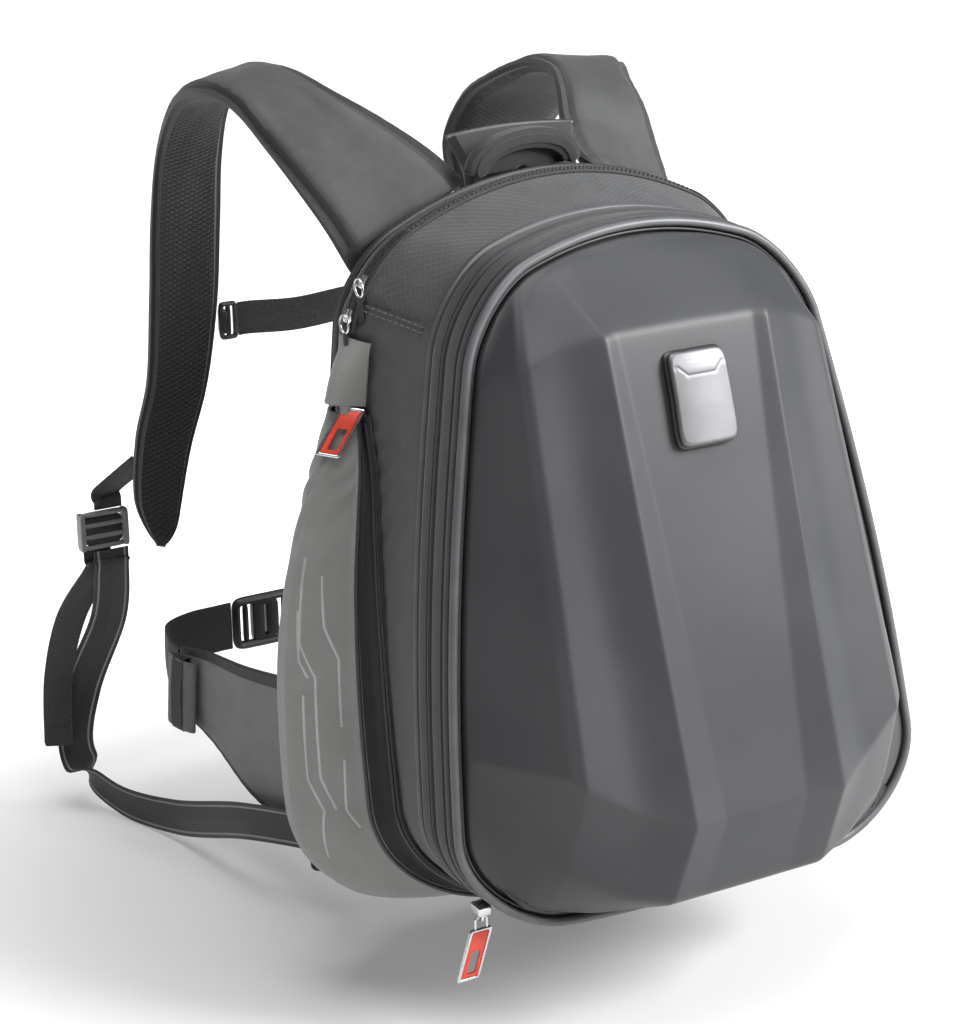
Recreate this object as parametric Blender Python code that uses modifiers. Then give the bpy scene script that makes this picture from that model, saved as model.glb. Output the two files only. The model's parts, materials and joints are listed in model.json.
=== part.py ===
"""Hard shell backpack, at real size in metres, +Z up, the wearer's side at +Y.

Everything is laid out from the lowest point of the shell's rim: x to the side, y back from the
rim, z up. The parent empty then moves the origin to the centre of the back panel's rear face.
"""
import bpy
import bmesh
from math import cos, pi, radians, sin
from mathutils import Matrix, Vector

GAP = 0.0003            # between pieces that touch

# Rim of the shell: a crowned, tapering outline on a plane that leans back
RIM_HEIGHT = 0.436
RIM_BOTTOM_WIDTH = 0.368
RIM_TOP_WIDTH = 0.252
RIM_BOTTOM_RADIUS = 0.071
RIM_TOP_RADIUS = 0.051
RIM_RISE = 0.012        # how far the lower corners stand above the middle
RIM_CROWN = 0.034       # how far the upper corners stand below the middle
RIM_BOW = 0.0125        # outward bow of the sides
RIM_LEAN = 0.19         # metres back for each metre up

# Moulded shell
SHELL_BULGE = 0.094     # the crests' highest point in front of the rim
SHELL_WALL = 0.003
SHELL_INSET = 0.010     # the shell's edge inside the rim outline
SHELL_EDGE = 0.006      # straight wall round the shell's edge

# Gusset behind the rim
GUSSET_DEPTH = 0.038
GUSSET_FLANGE = 0.016   # ledge that carries the shell and the welt
GUSSET_WALL = 0.0035
GUSSET_RIB = 0.0012
GUSSET_RIBS = 4
RIB_SHARE = 0.45        # of a rib's pitch that stands out
PIPING_RADIUS = 0.0025
WELT_RADIUS = 0.003
GUSSET_BACK = GUSSET_DEPTH + 2 * GAP + 2 * PIPING_RADIUS

# Outline of the back of the body
BACK_DROP = 0.018       # below the rim's lowest point
BACK_STEP = 0.0155      # its top above the rim's top
BACK_TOP = RIM_HEIGHT + BACK_STEP
BACK_HEIGHT = BACK_TOP + BACK_DROP
BACK_BOTTOM_WIDTH = 0.330
BACK_TOP_WIDTH = 0.309
BACK_BOTTOM_RADIUS = 0.060
BACK_TOP_RADIUS = 0.040
BACK_RISE = 0.010
BACK_CROWN = 0.052
BACK_BOW = 0.010
BACK_SEAM_Y = 0.190
FABRIC = 0.0025
PANEL_THICKNESS = 0.0075
WALL_FRONT_INSET = 0.001
WALL_END_CLEARANCE = 0.0012  # the tapering wall's inner edge reaches further back than its outer edge
WALL_BACK_Y = BACK_SEAM_Y - PIPING_RADIUS - WALL_END_CLEARANCE
WALL_SHARES = (0.0, 0.25, 0.5, 0.75, 1.0)    # rows of the wall, as shares of its depth

# Side pockets and base skid
POCKET_BULGE = 0.056
POCKET_HEM = 0.0006
POCKET_FABRIC = 0.0022
SKID_THICKNESS = 0.003
SKID_PLACES = 3         # ring points each side of the bottom middle
SKID_ACROSS = (0.15, 0.4, 0.7, 0.985)

# Badge on the shell's centre panel
BADGE_WIDTH = 0.046
BADGE_HEIGHT = 0.062
BADGE_THICKNESS = 0.0035
BADGE_CORNER = 0.004
BADGE_PLATE_SHARES = (0.94, 0.96)    # of the base's width and height
BADGE_CENTRE_SHARE = 0.77    # of the rim's height

# Planes that the harness starts from
PANEL_FACE_Y = BACK_SEAM_Y + PIPING_RADIUS + GAP + PANEL_THICKNESS
STRAP_THICKNESS = 0.014
ROOT_Y = PANEL_FACE_Y + GAP + STRAP_THICKNESS / 2

# Harness
HARNESS_HALF_WIDTH = 0.20
HARNESS_REACH = 0.25
HARNESS_TOP = BACK_TOP - 0.0015
WEBBING_THICKNESS = 0.002
STERNUM_WIDTH = 0.020
ADJUST_WIDTH = 0.028
TAIL_WIDTH = 0.022
BELT_WIDTH = 0.038
WING_THICKNESS = 0.010
HANDLE_WIDTH = 0.0135
HANDLE_THICKNESS = 0.014
HANDLE_X = -0.010       # the soft handle leans to one side
HANDLE_Y = PANEL_FACE_Y - 0.0008
HANDLE_HALF_SPAN = 0.036
HANDLE_RISE = 0.0207
HANDLE_SEAT = 0.0018    # above the panel's top edge
HANDLE_TURNS = (0, 30, 60, 90, 120, 150, 180)    # degrees along the handle's arch
YOKE_THICKNESS = STRAP_THICKNESS - 2 * GAP
# Left and right edge, place behind the root and height as a share of the harness's top
YOKE_LEVELS = ((-0.046, 0.046, 0.0, .862), (-0.045, 0.044, 0.0074, .990), (-0.060, 0.056, 0.0274, 1.053))
YOKE_ACROSS = (-1, -.5, 0, .5, 1)
YOKE_SAG = 0.008        # of the lower edge's middle
YOKE_CROWN = 0.003      # of the upper edge's middle
YOKE_ROLL = 0.004       # of its upper edge

# Front zip pull, hanging under the rim
PULL_HEIGHT = 0.034
PULL_WIDTH = 0.016
PULL_THICKNESS = 0.0024
PULL_SLANT = 0.011
PULL_CORNER = 0.0012
PULL_BORDER = 0.0018
INSERT_SHARE = 0.7      # of the frame's thickness
INSERT_HOLE = (0.5, 0.45, 0.16)    # width, height and drop as shares of the window
LINK_WIRE = 0.0008
LINK_HALF_WIDTH = 0.0042
LINK_DROP = 0.0075
PIVOT_CLEARANCE = 0.0006
FRONT_SLIDER_X = -0.156
FRONT_SLIDER_SHARE = 0.45    # of the gusset's depth
SLIDER_BLOCK = (0.010, 0.013, 0.007)
EYE_THICKNESS = 0.0024
EYE_DROP = 0.0028

# Side pulls, on the pocket's grid
SIDE_PULL_COLUMN = 3
SIDE_PULL_SHARE = 0.62      # between the last two rows
SIDE_PULL_LIFT = 0.0016

# Moulded shell: rows run across, from the middle to the rim, each key as shares of the rim's
# half bottom width, the rim's height and the bulge. The middle columns are the centre panel's
# edge, the crest, the hollow outside it, the two sides of the outer ridge and the side's foot.
SHELL_KEYS = {
    "bottom_roll": ((0, .008, .09), (.19, .009, .09), (.326, .012, .09), (.49, .020, .09),
                    (.68, .044, .09), (.745, .060, .09), (.812, .086, .09)),
    "belly": ((0, .055, .575), (.180, .056, .58), (.315, .060, .617), (.478, .078, .53),
              (.668, .126, .44), (.725, .145, .37), (.855, .168, .12)),
    "lower_crease": ((0, .197, .930), (.167, .198, .933), (.308, .204, .998), (.462, .225, .84),
                     (.649, .274, .768), (.690, .284, .697), (.882, .287, .149)),
    "middle": ((0, .535, .731), (.222, .535, .733), (.3185, .5375, .779), (.462, .540, .630),
               (.618, .555, .585), (.656, .555, .525), (.786, .551, .135)),
    "upper_crease": ((0, .873, .532), (.277, .8725, .532), (.329, .871, .560), (.462, .855, .440),
                     (.587, .836, .395), (.622, .826, .345), (.676, .815, .120)),
    "top_roll": ((0, .960, .160), (.315, .953, .155), (.390, .946, .145), (.457, .930, .150),
                 (.525, .902, .170), (.560, .888, .170), (.606, .866, .085)),
}
# Shares of the half rim's length where those rows and columns end
RIM_BOTTOM_SHARES = (0, .052, .089, .134, .189, .213, .232)
RIM_TOP_SHARES = (1, .923, .900, .876, .855, .844, .830)
RIM_SIDE_SHARES = (.273, .312, .386, .563, .735, .774)
RIM_CORNER_SHARES = (.254, .812)
RIM_BACKWARD = Vector((0, 1, -RIM_LEAN)).normalized()
SHELL_COLUMN_RADII = (.004, .006, .020, .005, .006, .012)
SHELL_ROW_RADII = (.006, .022, .007, .0, .010, .010)

# Side pocket: bulge as shares of the named bulge, along the outline from the bottom up, and
# the place of the front edge as a share of the body's depth at that height
POCKET_PLACES = (3.15, 4, 5, 6, 7, 8, 9, 10, 11, 12, 12.5, 13.1)
POCKET_HEIGHT_BULGE = (.05, .20, .45, .70, .88, .98, 1.0, .97, .86, .64, .48, .22)
POCKET_FRONT_EDGE = (.12, .13, .14, .16, .18, .21, .26, .31, .37, .43, .48, .60)
POCKET_ACROSS = ((0, 0), (.05, 0), (.14, .42), (.28, .80), (.46, 1.0), (.64, .97), (.82, .72),
                 (.94, .26), (.975, 0))

# Left shoulder strap: inner and outer edge, as shares of the harness's sizes, from the root up over
# the shoulder and down the chest
LEFT_STRAP_EDGES = (
    ((.250, .0665, .990), (.690, .0665, .875)),
    ((.330, .150, 1.035), (.735, .125, .933)),
    ((.450, .230, 1.080), (.785, .210, .990)),
    ((.575, .290, 1.118), (.840, .290, 1.044)),
    ((.670, .390, 1.147), (.910, .380, 1.104)),
    ((.720, .520, 1.142), (.950, .510, 1.118)),
    ((.730, .680, 1.090), (.945, .690, 1.090)),
    ((.690, .830, .990), (.920, .870, 1.000)),
    ((.660, .920, .870), (.910, .960, .880)),
    ((.665, .960, .735), (.920, .984, .750)),
    ((.710, .980, .600), (.940, 1.000, .615)),
    ((.790, .984, .490), (.995, 1.004, .520)),
    ((.850, .984, .380), (1.015, 1.004, .420)),
    ((.880, .980, .325), (.980, .992, .338)),
)
# The right strap leans towards the neck and comes down the chest on a slant
RIGHT_STRAP_EDGES = (
    ((.250, .0665, .990), (.690, .0665, .875)),
    ((.287, .128, 1.007), (.643, .128, .900)),
    ((.338, .228, 1.043), (.659, .228, .961)),
    ((.366, .320, 1.086), (.672, .320, 1.030)),
    ((.389, .432, 1.106), (.712, .440, 1.063)),
    ((.360, .580, 1.103), (.701, .592, 1.078)),
    ((.330, .728, 1.073), (.695, .745, 1.050)),
    ((.304, .860, 1.029), (.680, .885, 1.005)),
    ((.285, .950, .947), (.665, .985, .930)),
    ((.350, .980, .860), (.720, 1.010, .850)),
    ((.470, .985, .750), (.810, 1.010, .745)),
    ((.590, .985, .630), (.880, 1.005, .635)),
    ((.735, .984, .500), (.965, 1.004, .525)),
    ((.850, .984, .380), (1.015, 1.004, .420)),
    ((.880, .980, .325), (.980, .992, .338)),
)

# Free webbing: centre points as shares of the harness's sizes, and width directions
ADJUST_ROUTE = (((1.050, 1.200, .180), (1, .3, 0)),
                ((1.120, 1.310, .040), (.8, .5, .1)), ((1.180, 1.270, -.070), (.5, .6, .5)),
                ((1.100, 1.120, -.130), (.2, 0, 1)), ((1.000, .850, -.120), (0, 0, 1)),
                ((.955, .450, -.045), (0, 0, 1)))
TAIL_ROUTE = (((1.180, 1.250, .180), (1, .5, 0)),
              ((1.215, 1.320, .060), (1, .6, 0)), ((1.250, 1.280, -.045), (1, .6, 0)))
TAB_ROUTE = (((.960, 1.036, .475), (1, .1, 0)),)
BELT_RIGHT_END = ((.5, 1.082, .150), (0, 1.087, .150))    # slack towards the buckle
BELT_LEAD = 0.012            # straight webbing at the buckle
BELT_ROUTE = (((.936, .895, .128), (0, 0, 1)), ((.938, .960, .134), (0, 0, 1)),
              ((.900, 1.030, .144), (0, 0, 1)), ((.800, 1.055, .150), (0, 0, 1)))
BUNDLE_ROUTE = (((.950, .760, .105), (0, .1, 1)), ((.985, .880, .110), (0, .1, 1)))
BUNDLE_THICKNESS = 0.009
BUNDLE_WIDTH = 0.058
BUCKLE_X = -0.095       # the hip buckle sits left of the middle
BUCKLE_SIZE = (0.056, 0.011, 0.042)
BELT_BUCKLE_Y = 1.062
BELT_BUCKLE_Z = .150
STERNUM_HEIGHT = .700
STERNUM_REACH = .955
STERNUM_BUCKLE = (0.042, 0.010, 0.026)
ADJUSTER_SIZE = (0.014, 0.010, 0.028)
ADJUSTER_X = {"l": .6285, "r": .4625}
STERNUM_STRAIGHT = 0.010     # level stretch at each end of the sternum webbing
STERNUM_SAG = (0, 0.002, -0.003)
BUCKLE_EDGE = 0.003
CLIP_EDGE = 0.002
ADJUSTER_EDGE = 0.0015
TAB_SIZE = (0.070, 0.003, 0.032)
TAB_CENTRE_X = .760
TAB_CENTRE_Z = -.014
LOCK_CENTRE = (1.090, 1.115, .355)
LOCK_SIZE = (0.038, 0.010, 0.030)
LOCK_CLEARANCE = 0.0008      # webbing ends to the lock's ends
LOCK_LEAD = 0.014            # straight webbing at the lock
ADJUST_ROOT_X = .860
ADJUST_EXIT = (-0.004, -0.003)   # sideways and back from the lock's centre
TAIL_EXIT = (0.005, 0.002)
TAB_ENTRY = (-0.005, 0.0)
WING_ROWS = (((.765, .0460, .034), (.765, .0460, .245)), ((.765, .100, .010), (.765, .100, .240)),
             ((.820, .200, -.040), (.820, .200, .228)),
             ((.865, .500, -.030), (.865, .500, .200)), ((.890, .740, .025), (.890, .740, .186)),
             ((.930, .880, .060), (.930, .880, .176)))

# Main zip round the top of the back, its sliders and the pockets' hoods
ZIP_PLACES = (14.05, *range(15, 30), 29.95)
ZIP_ACROSS = (.83, .88, .93)
ZIP_RAISE = (0, .0012, 0)
ZIP_TAPE = 0.0016
HOOD_PLACES = (13.2, 13.45, 13.7, 13.95)
HOOD_ACROSS = (.60, .69, .78, .87, .96)
HOOD_HEIGHT = 0.012
HOOD_SEAT = 0.0032       # the hood's outer face above the wall, along its two edges
HOOD_ARCH = (0, .7, 1, .7, 0)
HOOD_LENGTH_ARCH = (1, .9, .65, .3)
SLIDER_SIZE = (0.009, 0.006, 0.004)
SLIDER_PLACES = (27.7, 29.2)
SLIDER_EDGE = 0.001

# Side name and direction
SIDES = (("l", -1), ("r", 1))

MATERIALS = {
    "shell_plastic": ((0.045, 0.046, 0.050), 0.42, 0.0),
    "body_fabric": ((0.060, 0.062, 0.065), 0.80, 0.0),
    "pocket_fabric": ((0.110, 0.110, 0.110), 0.75, 0.0),
    "dark_fabric": ((0.028, 0.029, 0.031), 0.85, 0.0),
    "mesh_lining": ((0.012, 0.012, 0.013), 0.90, 0.0),
    "webbing": ((0.020, 0.020, 0.022), 0.75, 0.0),
    "buckle_plastic": ((0.025, 0.025, 0.028), 0.40, 0.0),
    "piping_rubber": ((0.075, 0.076, 0.080), 0.45, 0.0),
    "badge_metal": ((0.62, 0.62, 0.62), 0.28, 1.0),
    "dark_chrome": ((0.30, 0.30, 0.32), 0.22, 1.0),
    "pull_red": ((0.50, 0.05, 0.03), 0.50, 0.0),
}


def empty_scene():
    for thing in list(bpy.data.objects):
        bpy.data.objects.remove(thing, do_unlink=True)


def make_materials():
    for name, (colour, roughness, metallic) in MATERIALS.items():
        material = bpy.data.materials.new(name)
        material.use_nodes = True
        shader = material.node_tree.nodes["Principled BSDF"]
        shader.inputs["Base Color"].default_value = (*colour, 1.0)
        shader.inputs["Roughness"].default_value = roughness
        shader.inputs["Metallic"].default_value = metallic


empty_scene()
make_materials()
collection = bpy.data.collections.new("hard_shell_backpack")
bpy.context.scene.collection.children.link(collection)
cutters = bpy.data.collections.new("cutters")
bpy.context.scene.collection.children.link(cutters)

BACK_CENTRE = Vector((0.0, PANEL_FACE_Y, BACK_HEIGHT / 2 - BACK_DROP))
frame_empty = bpy.data.objects.new("backpack_frame", None)
frame_empty.location = -BACK_CENTRE
collection.objects.link(frame_empty)


def add_object(name, data, material, parent=frame_empty):
    piece = bpy.data.objects.new(name, data)
    data.materials.append(bpy.data.materials[material])
    collection.objects.link(piece)
    piece.parent = parent
    return piece


def add_bmesh(name, work, material, parent=frame_empty):
    mesh = bpy.data.meshes.new(name)
    work.to_mesh(mesh)
    work.free()
    piece = add_object(name, mesh, material, parent)
    mesh.shade_smooth()
    mesh.set_sharp_from_angle(angle=radians(40))
    return piece


def add_loft(name, rows, material, closed_rows=False, closed_columns=False, caps=False):
    """Quads between rows of points. Closed bodies have their faces turned outward."""
    work = bmesh.new()
    grid = [[work.verts.new(point) for point in row] for row in rows]
    row_pairs = len(grid) if closed_rows else len(grid) - 1
    columns = len(grid[0])
    column_pairs = columns if closed_columns else columns - 1
    for i in range(row_pairs):
        upper, lower = grid[i], grid[(i + 1) % len(grid)]
        for j in range(column_pairs):
            k = (j + 1) % columns
            work.faces.new((upper[j], upper[k], lower[k], lower[j]))
    if caps:
        work.faces.new(grid[0])
        work.faces.new(grid[-1])
    if caps or (closed_rows and closed_columns):
        bmesh.ops.recalc_face_normals(work, faces=work.faces)
    return add_bmesh(name, work, material)


def thicken(piece, thickness):
    """Wall on the inner side of an open surface whose faces point out."""
    wall = piece.modifiers.new("wall", 'SOLIDIFY')
    wall.thickness = thickness
    wall.offset = -1.0


# Outlines

def corner_arc(before, corner, after, radius, steps=5):
    """Points of a round corner, on the x z plane."""
    to_before = (before - corner).normalized()
    to_after = (after - corner).normalized()
    half = to_before.angle(to_after) / 2
    centre = corner + (to_before + to_after).normalized() * radius / sin(half)
    start = corner + to_before * radius * cos(half) / sin(half) - centre
    end = corner + to_after * radius * cos(half) / sin(half) - centre
    return [centre + start.slerp(end, step / steps).normalized() * radius for step in range(steps + 1)]


def half_outline(bottom_width, top_width, height, bottom_radius, top_radius, rise, crown, bow):
    """Right half of an outline, from the bottom middle to the top middle."""
    half_bottom, half_top = bottom_width / 2, top_width / 2
    low, high = Vector((half_bottom, 0, 0)), Vector((half_top, 0, height))
    base, apex = Vector((0, 0, 0)), Vector((0, 0, height))
    lower_arc = corner_arc(base, low, high, bottom_radius)
    upper_arc = corner_arc(low, high, apex, top_radius)
    points = [base.lerp(lower_arc[0], share) for share in (0, 0.35, 0.7)]
    points += lower_arc
    points += [lower_arc[-1].lerp(upper_arc[0], share) for share in (0.17, 0.34, 0.5, 0.66, 0.83)]
    points += upper_arc
    points += [upper_arc[-1].lerp(apex, share) for share in (0.35, 0.7, 1)]
    for point in points:
        up = point.z / height
        point.z += rise * (point.x / half_bottom) ** 2 * (1 - up)
        point.z -= crown * (point.x / half_top) ** 2 * up
        point.x += bow * sin(pi * min(max(up, 0), 1)) * min(point.x / half_top, 1)
    return points


def full_outline(half):
    """Whole ring, from the bottom middle up the right side and down the left."""
    left = [Vector((-point.x, point.y, point.z)) for point in half[-2:0:-1]]
    return half + left


def outward_normals(ring):
    normals = []
    for index, point in enumerate(ring):
        along = ring[(index + 1) % len(ring)] - ring[index - 1]
        normals.append(Vector((along.z, 0, -along.x)).normalized())
    return normals


def moved_out(ring, distance):
    return [point + normal * distance for point, normal in zip(ring, outward_normals(ring))]


def leaning(ring, back):
    """Ring laid on the rim's leaning plane, moved back."""
    return [Vector((p.x, RIM_LEAN * p.z + back, p.z)) for p in ring]


rim = full_outline(half_outline(RIM_BOTTOM_WIDTH, RIM_TOP_WIDTH, RIM_HEIGHT, RIM_BOTTOM_RADIUS,
                                RIM_TOP_RADIUS, RIM_RISE, RIM_CROWN, RIM_BOW))
back = full_outline(half_outline(BACK_BOTTOM_WIDTH, BACK_TOP_WIDTH, BACK_HEIGHT, BACK_BOTTOM_RADIUS,
                                 BACK_TOP_RADIUS, BACK_RISE, BACK_CROWN, BACK_BOW))
back = [point - Vector((0, 0, BACK_DROP)) for point in back]


def ring_solid(name, ring, section, material, lean=True, y=0.0):
    """Closed ring: every section point (out, back) follows the outline."""
    rows = []
    for out, behind in section:
        moved = moved_out(ring, out)
        if lean:
            rows.append(leaning(moved, behind))
        else:
            rows.append([Vector((p.x, y + behind, p.z)) for p in moved])
    return add_loft(name, rows, material, closed_rows=True, closed_columns=True)


def round_section(out, behind, radius, sides=6):
    turns = [2 * pi * side / sides for side in range(sides)]
    return [(out + radius * cos(turn), behind + radius * sin(turn)) for turn in turns]


def rim_point(half, share):
    """Point at a share of the half outline's length."""
    lengths = [(b - a).length for a, b in zip(half, half[1:])]
    left = share * sum(lengths)
    for a, b, length in zip(half, half[1:], lengths):
        if left <= length:
            return a.lerp(b, left / length)
        left -= length
    return half[-1].copy()


def soft_corners(points, radii, steps=1):
    """Polyline whose inner corners are cut back by the given lengths."""
    line = [points[0]]
    for index, reach in enumerate(radii, start=1):
        corner, before, after = points[index], points[index - 1], points[index + 1]
        first = corner.lerp(before, min(reach / max((before - corner).length, 1e-6), 0.45))
        last = corner.lerp(after, min(reach / max((after - corner).length, 1e-6), 0.45))
        for step in range(steps + 1):
            t = step / steps
            line.append(first * (1 - t) ** 2 + corner * 2 * t * (1 - t) + last * t ** 2)
    line.append(points[-1])
    return line


def shell_edge(point):
    """Where the edge wall starts in front of a point of the outline."""
    return Vector((point.x, RIM_LEAN * point.z, point.z)) - RIM_BACKWARD * SHELL_EDGE


def shell_surface():
    """Grid of points on half of the shell, rows from the bottom up."""
    ring = moved_out(rim, -SHELL_INSET)
    half = ring[:len(ring) // 2 + 1]
    half_width = RIM_BOTTOM_WIDTH / 2
    keys = []
    bottom = [rim_point(half, share) for share in (*RIM_BOTTOM_SHARES, RIM_CORNER_SHARES[0])]
    keys.append([shell_edge(point) for point in bottom])
    for row, side_share in zip(SHELL_KEYS.values(), RIM_SIDE_SHARES):
        points = []
        for x, z, depth in row:
            height = z * RIM_HEIGHT
            points.append(Vector((x * half_width, RIM_LEAN * height - depth * SHELL_BULGE, height)))
        points.append(shell_edge(rim_point(half, side_share)))
        keys.append(points)
    top = [rim_point(half, share) for share in (*RIM_TOP_SHARES, RIM_CORNER_SHARES[1])]
    keys.append([shell_edge(point) for point in top])
    columns = [soft_corners(list(column), SHELL_ROW_RADII) for column in zip(*keys)]
    return [soft_corners(list(row), SHELL_COLUMN_RADII) for row in zip(*columns)]


def add_edge_wall(mesh, depth):
    """Straight wall from the open edge back to the rim's plane, apart from the mirror plane."""
    work = bmesh.new()
    work.from_mesh(mesh)
    edges = [edge for edge in work.edges
             if edge.is_boundary and any(vert.co.x > 0.0001 for vert in edge.verts)]
    made = bmesh.ops.extrude_edge_only(work, edges=edges)["geom"]
    moved = [item for item in made if isinstance(item, bmesh.types.BMVert)]
    bmesh.ops.translate(work, verts=moved, vec=RIM_BACKWARD * depth)
    work.to_mesh(mesh)
    work.free()


def build_shell():
    shell = add_loft("hard_shell", shell_surface(), "shell_plastic")
    add_edge_wall(shell.data, SHELL_EDGE - 2 * GAP)
    mirror = shell.modifiers.new("mirror", 'MIRROR')
    mirror.use_clip = True
    mirror.merge_threshold = 0.00001
    thicken(shell, SHELL_WALL)


def panel_frame(height_share):
    """Place and directions of a spot on the shell's flat centre panel."""
    low = SHELL_KEYS["lower_crease"][0]
    high = SHELL_KEYS["upper_crease"][0]

    def spot(key):
        height = key[1] * RIM_HEIGHT
        return Vector((0, RIM_LEAN * height - key[2] * SHELL_BULGE, height))

    up = (spot(high) - spot(low)).normalized()
    out = Vector((0, -up.z, up.y))
    share = (height_share - low[1]) / (high[1] - low[1])
    return spot(low).lerp(spot(high), share), up, out


def rounded_plate(name, width, height, radius, thickness, centre, up, out, material, slant=0.0):
    """Flat plate with round corners, its back face at the centre point."""
    across = up.cross(out).normalized()
    corners = [(-1, -1), (1, -1), (1, 1), (-1, 1)]
    rows = []
    for depth in (0.0, thickness):
        ring = []
        for index, (sx, sz) in enumerate(corners):
            start = index * pi / 2 + pi
            for step in range(4):
                turn = start + step * pi / 6
                u = sx * (width / 2 - radius) + radius * cos(turn)
                v = sz * (height / 2 - radius) + radius * sin(turn)
                ring.append(centre + across * (u + slant * v / height) + up * v + out * depth)
        rows.append(ring)
    return add_loft(name, rows, material, closed_columns=True, caps=True)


def build_badge():
    centre, up, out = panel_frame(BADGE_CENTRE_SHARE)
    rounded_plate("badge_base", BADGE_WIDTH, BADGE_HEIGHT, BADGE_CORNER, BADGE_THICKNESS,
                  centre + out * GAP, up, out, "buckle_plastic")
    across_share, up_share = BADGE_PLATE_SHARES
    rounded_plate("badge_plate", BADGE_WIDTH * across_share, BADGE_HEIGHT * up_share, BADGE_CORNER,
                  BADGE_THICKNESS, centre + out * (BADGE_THICKNESS + 2 * GAP), up, out, "badge_metal")


# Rim, gusset and body


def build_rim():
    ring_solid("rim_welt", rim, round_section(-WELT_RADIUS, -WELT_RADIUS - GAP, WELT_RADIUS),
               "piping_rubber")
    outer = [(0.0, 0.0)]
    pitch = GUSSET_DEPTH / (GUSSET_RIBS + 0.5)
    for rib in range(GUSSET_RIBS):
        start = pitch * (rib + 0.5)
        outer.append((-GUSSET_RIB, start))
        outer.append((0.0, start + pitch * RIB_SHARE))
    outer.append((0.0, GUSSET_DEPTH))
    inner = [(-GUSSET_WALL, GUSSET_DEPTH), (-GUSSET_WALL, GUSSET_WALL),
             (-GUSSET_FLANGE, GUSSET_WALL), (-GUSSET_FLANGE, 0.0)]
    ring_solid("expansion_gusset", rim, outer + inner, "dark_fabric")
    ring_solid("gusset_piping", rim,
               round_section(-PIPING_RADIUS * 0.6, GUSSET_DEPTH + GAP + PIPING_RADIUS, PIPING_RADIUS),
               "piping_rubber")


wall_front = leaning(moved_out(rim, -WALL_FRONT_INSET), GUSSET_BACK)
wall_back = [Vector((p.x, WALL_BACK_Y, p.z)) for p in back]


def on_wall(place, depth_share):
    """Point and outward direction on the body wall. Place counts ring points from the bottom middle."""
    index = int(place // 1) % len(rim)
    after = (index + 1) % len(rim)
    between = place - place // 1
    front = wall_front[index].lerp(wall_front[after], between)
    rear = wall_back[index].lerp(wall_back[after], between)
    along = (wall_front[after] - wall_front[index]).lerp(wall_back[after] - wall_back[index], depth_share)
    normal = along.cross(rear - front).normalized() * -1
    return front.lerp(rear, depth_share), normal


def build_body():
    rows = []
    for share in WALL_SHARES:
        rows.append([a.lerp(b, share) for a, b in zip(wall_front, wall_back)])
    wall = add_loft("body_wall", rows[::-1], "body_fabric", closed_columns=True)
    thicken(wall, FABRIC)
    ring_solid("back_seam_piping", back, round_section(-PIPING_RADIUS * 0.4, 0.0, PIPING_RADIUS),
               "piping_rubber", lean=False, y=BACK_SEAM_Y)
    inset = moved_out(back, -WALL_FRONT_INSET)
    front_y = BACK_SEAM_Y + PIPING_RADIUS + GAP
    rows = [[Vector((p.x, y, p.z)) for p in inset] for y in (front_y, front_y + PANEL_THICKNESS)]
    add_loft("back_panel", rows, "mesh_lining", closed_columns=True, caps=True)


def pocket_rows():
    rows = []
    for place, bulge, edge in zip(POCKET_PLACES, POCKET_HEIGHT_BULGE, POCKET_FRONT_EDGE):
        row = []
        for across, out in POCKET_ACROSS:
            point, normal = on_wall(place, edge + (1 - edge) * across)
            lift = POCKET_HEM + POCKET_FABRIC + POCKET_BULGE * bulge * out
            row.append(point + normal * lift)
        rows.append(row)
    return rows


def mirrored_rows(rows):
    return [[Vector((-p.x, p.y, p.z)) for p in row] for row in rows]


def build_pockets():
    right = pocket_rows()
    for side, rows in (("l", mirrored_rows(right)[::-1]), ("r", right)):
        pocket = add_loft("side_pocket_" + side, rows, "pocket_fabric")
        thicken(pocket, POCKET_FABRIC)


def build_skid():
    rows = []
    for place in range(-SKID_PLACES, SKID_PLACES + 1):
        row = []
        for across in SKID_ACROSS:
            point, normal = on_wall(place % len(rim), across)
            row.append(point + normal * (POCKET_HEM + SKID_THICKNESS))
        rows.append(row)
    skid = add_loft("base_skid", rows, "dark_fabric")
    thicken(skid, SKID_THICKNESS)


# Bands: straps, wings and webbing

def harness_point(x, y, z, side=1):
    """Point from shares of the harness's half width, its reach behind the back seam and its top."""
    return Vector((side * x * HARNESS_HALF_WIDTH, BACK_SEAM_Y + y * HARNESS_REACH, z * HARNESS_TOP))


def smooth_path(points, steps=2):
    """Catmull-Rom points through the given ones."""
    line = []
    for index in range(len(points) - 1):
        a = points[max(index - 1, 0)]
        b, c = points[index], points[index + 1]
        d = points[min(index + 2, len(points) - 1)]
        for step in range(steps):
            t = step / steps
            line.append(0.5 * (2 * b + (c - a) * t + (2 * a - 5 * b + 4 * c - d) * t * t
                               + (3 * b - a - 3 * c + d) * t * t * t))
    line.append(points[-1].copy())
    return line


def band(name, inner_edge, outer_edge, thickness, material, round_edge=0.0):
    """Closed strip between two edges, its edges round by a share of the half width."""
    rows = []
    middle = [(a + b) / 2 for a, b in zip(inner_edge, outer_edge)]
    for index, (inner, outer) in enumerate(zip(inner_edge, outer_edge)):
        along = middle[min(index + 1, len(middle) - 1)] - middle[max(index - 1, 0)]
        normal = along.cross(outer - inner).normalized() * thickness / 2
        if round_edge:
            a, b = inner.lerp(outer, round_edge / 2), outer.lerp(inner, round_edge / 2)
            rows.append([inner - normal * .4, a - normal, b - normal, outer - normal * .4,
                         outer + normal * .4, b + normal, a + normal, inner + normal * .4])
        else:
            rows.append([inner - normal, outer - normal, outer + normal, inner + normal])
    return add_loft(name, rows, material, closed_columns=True, caps=True)


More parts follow.
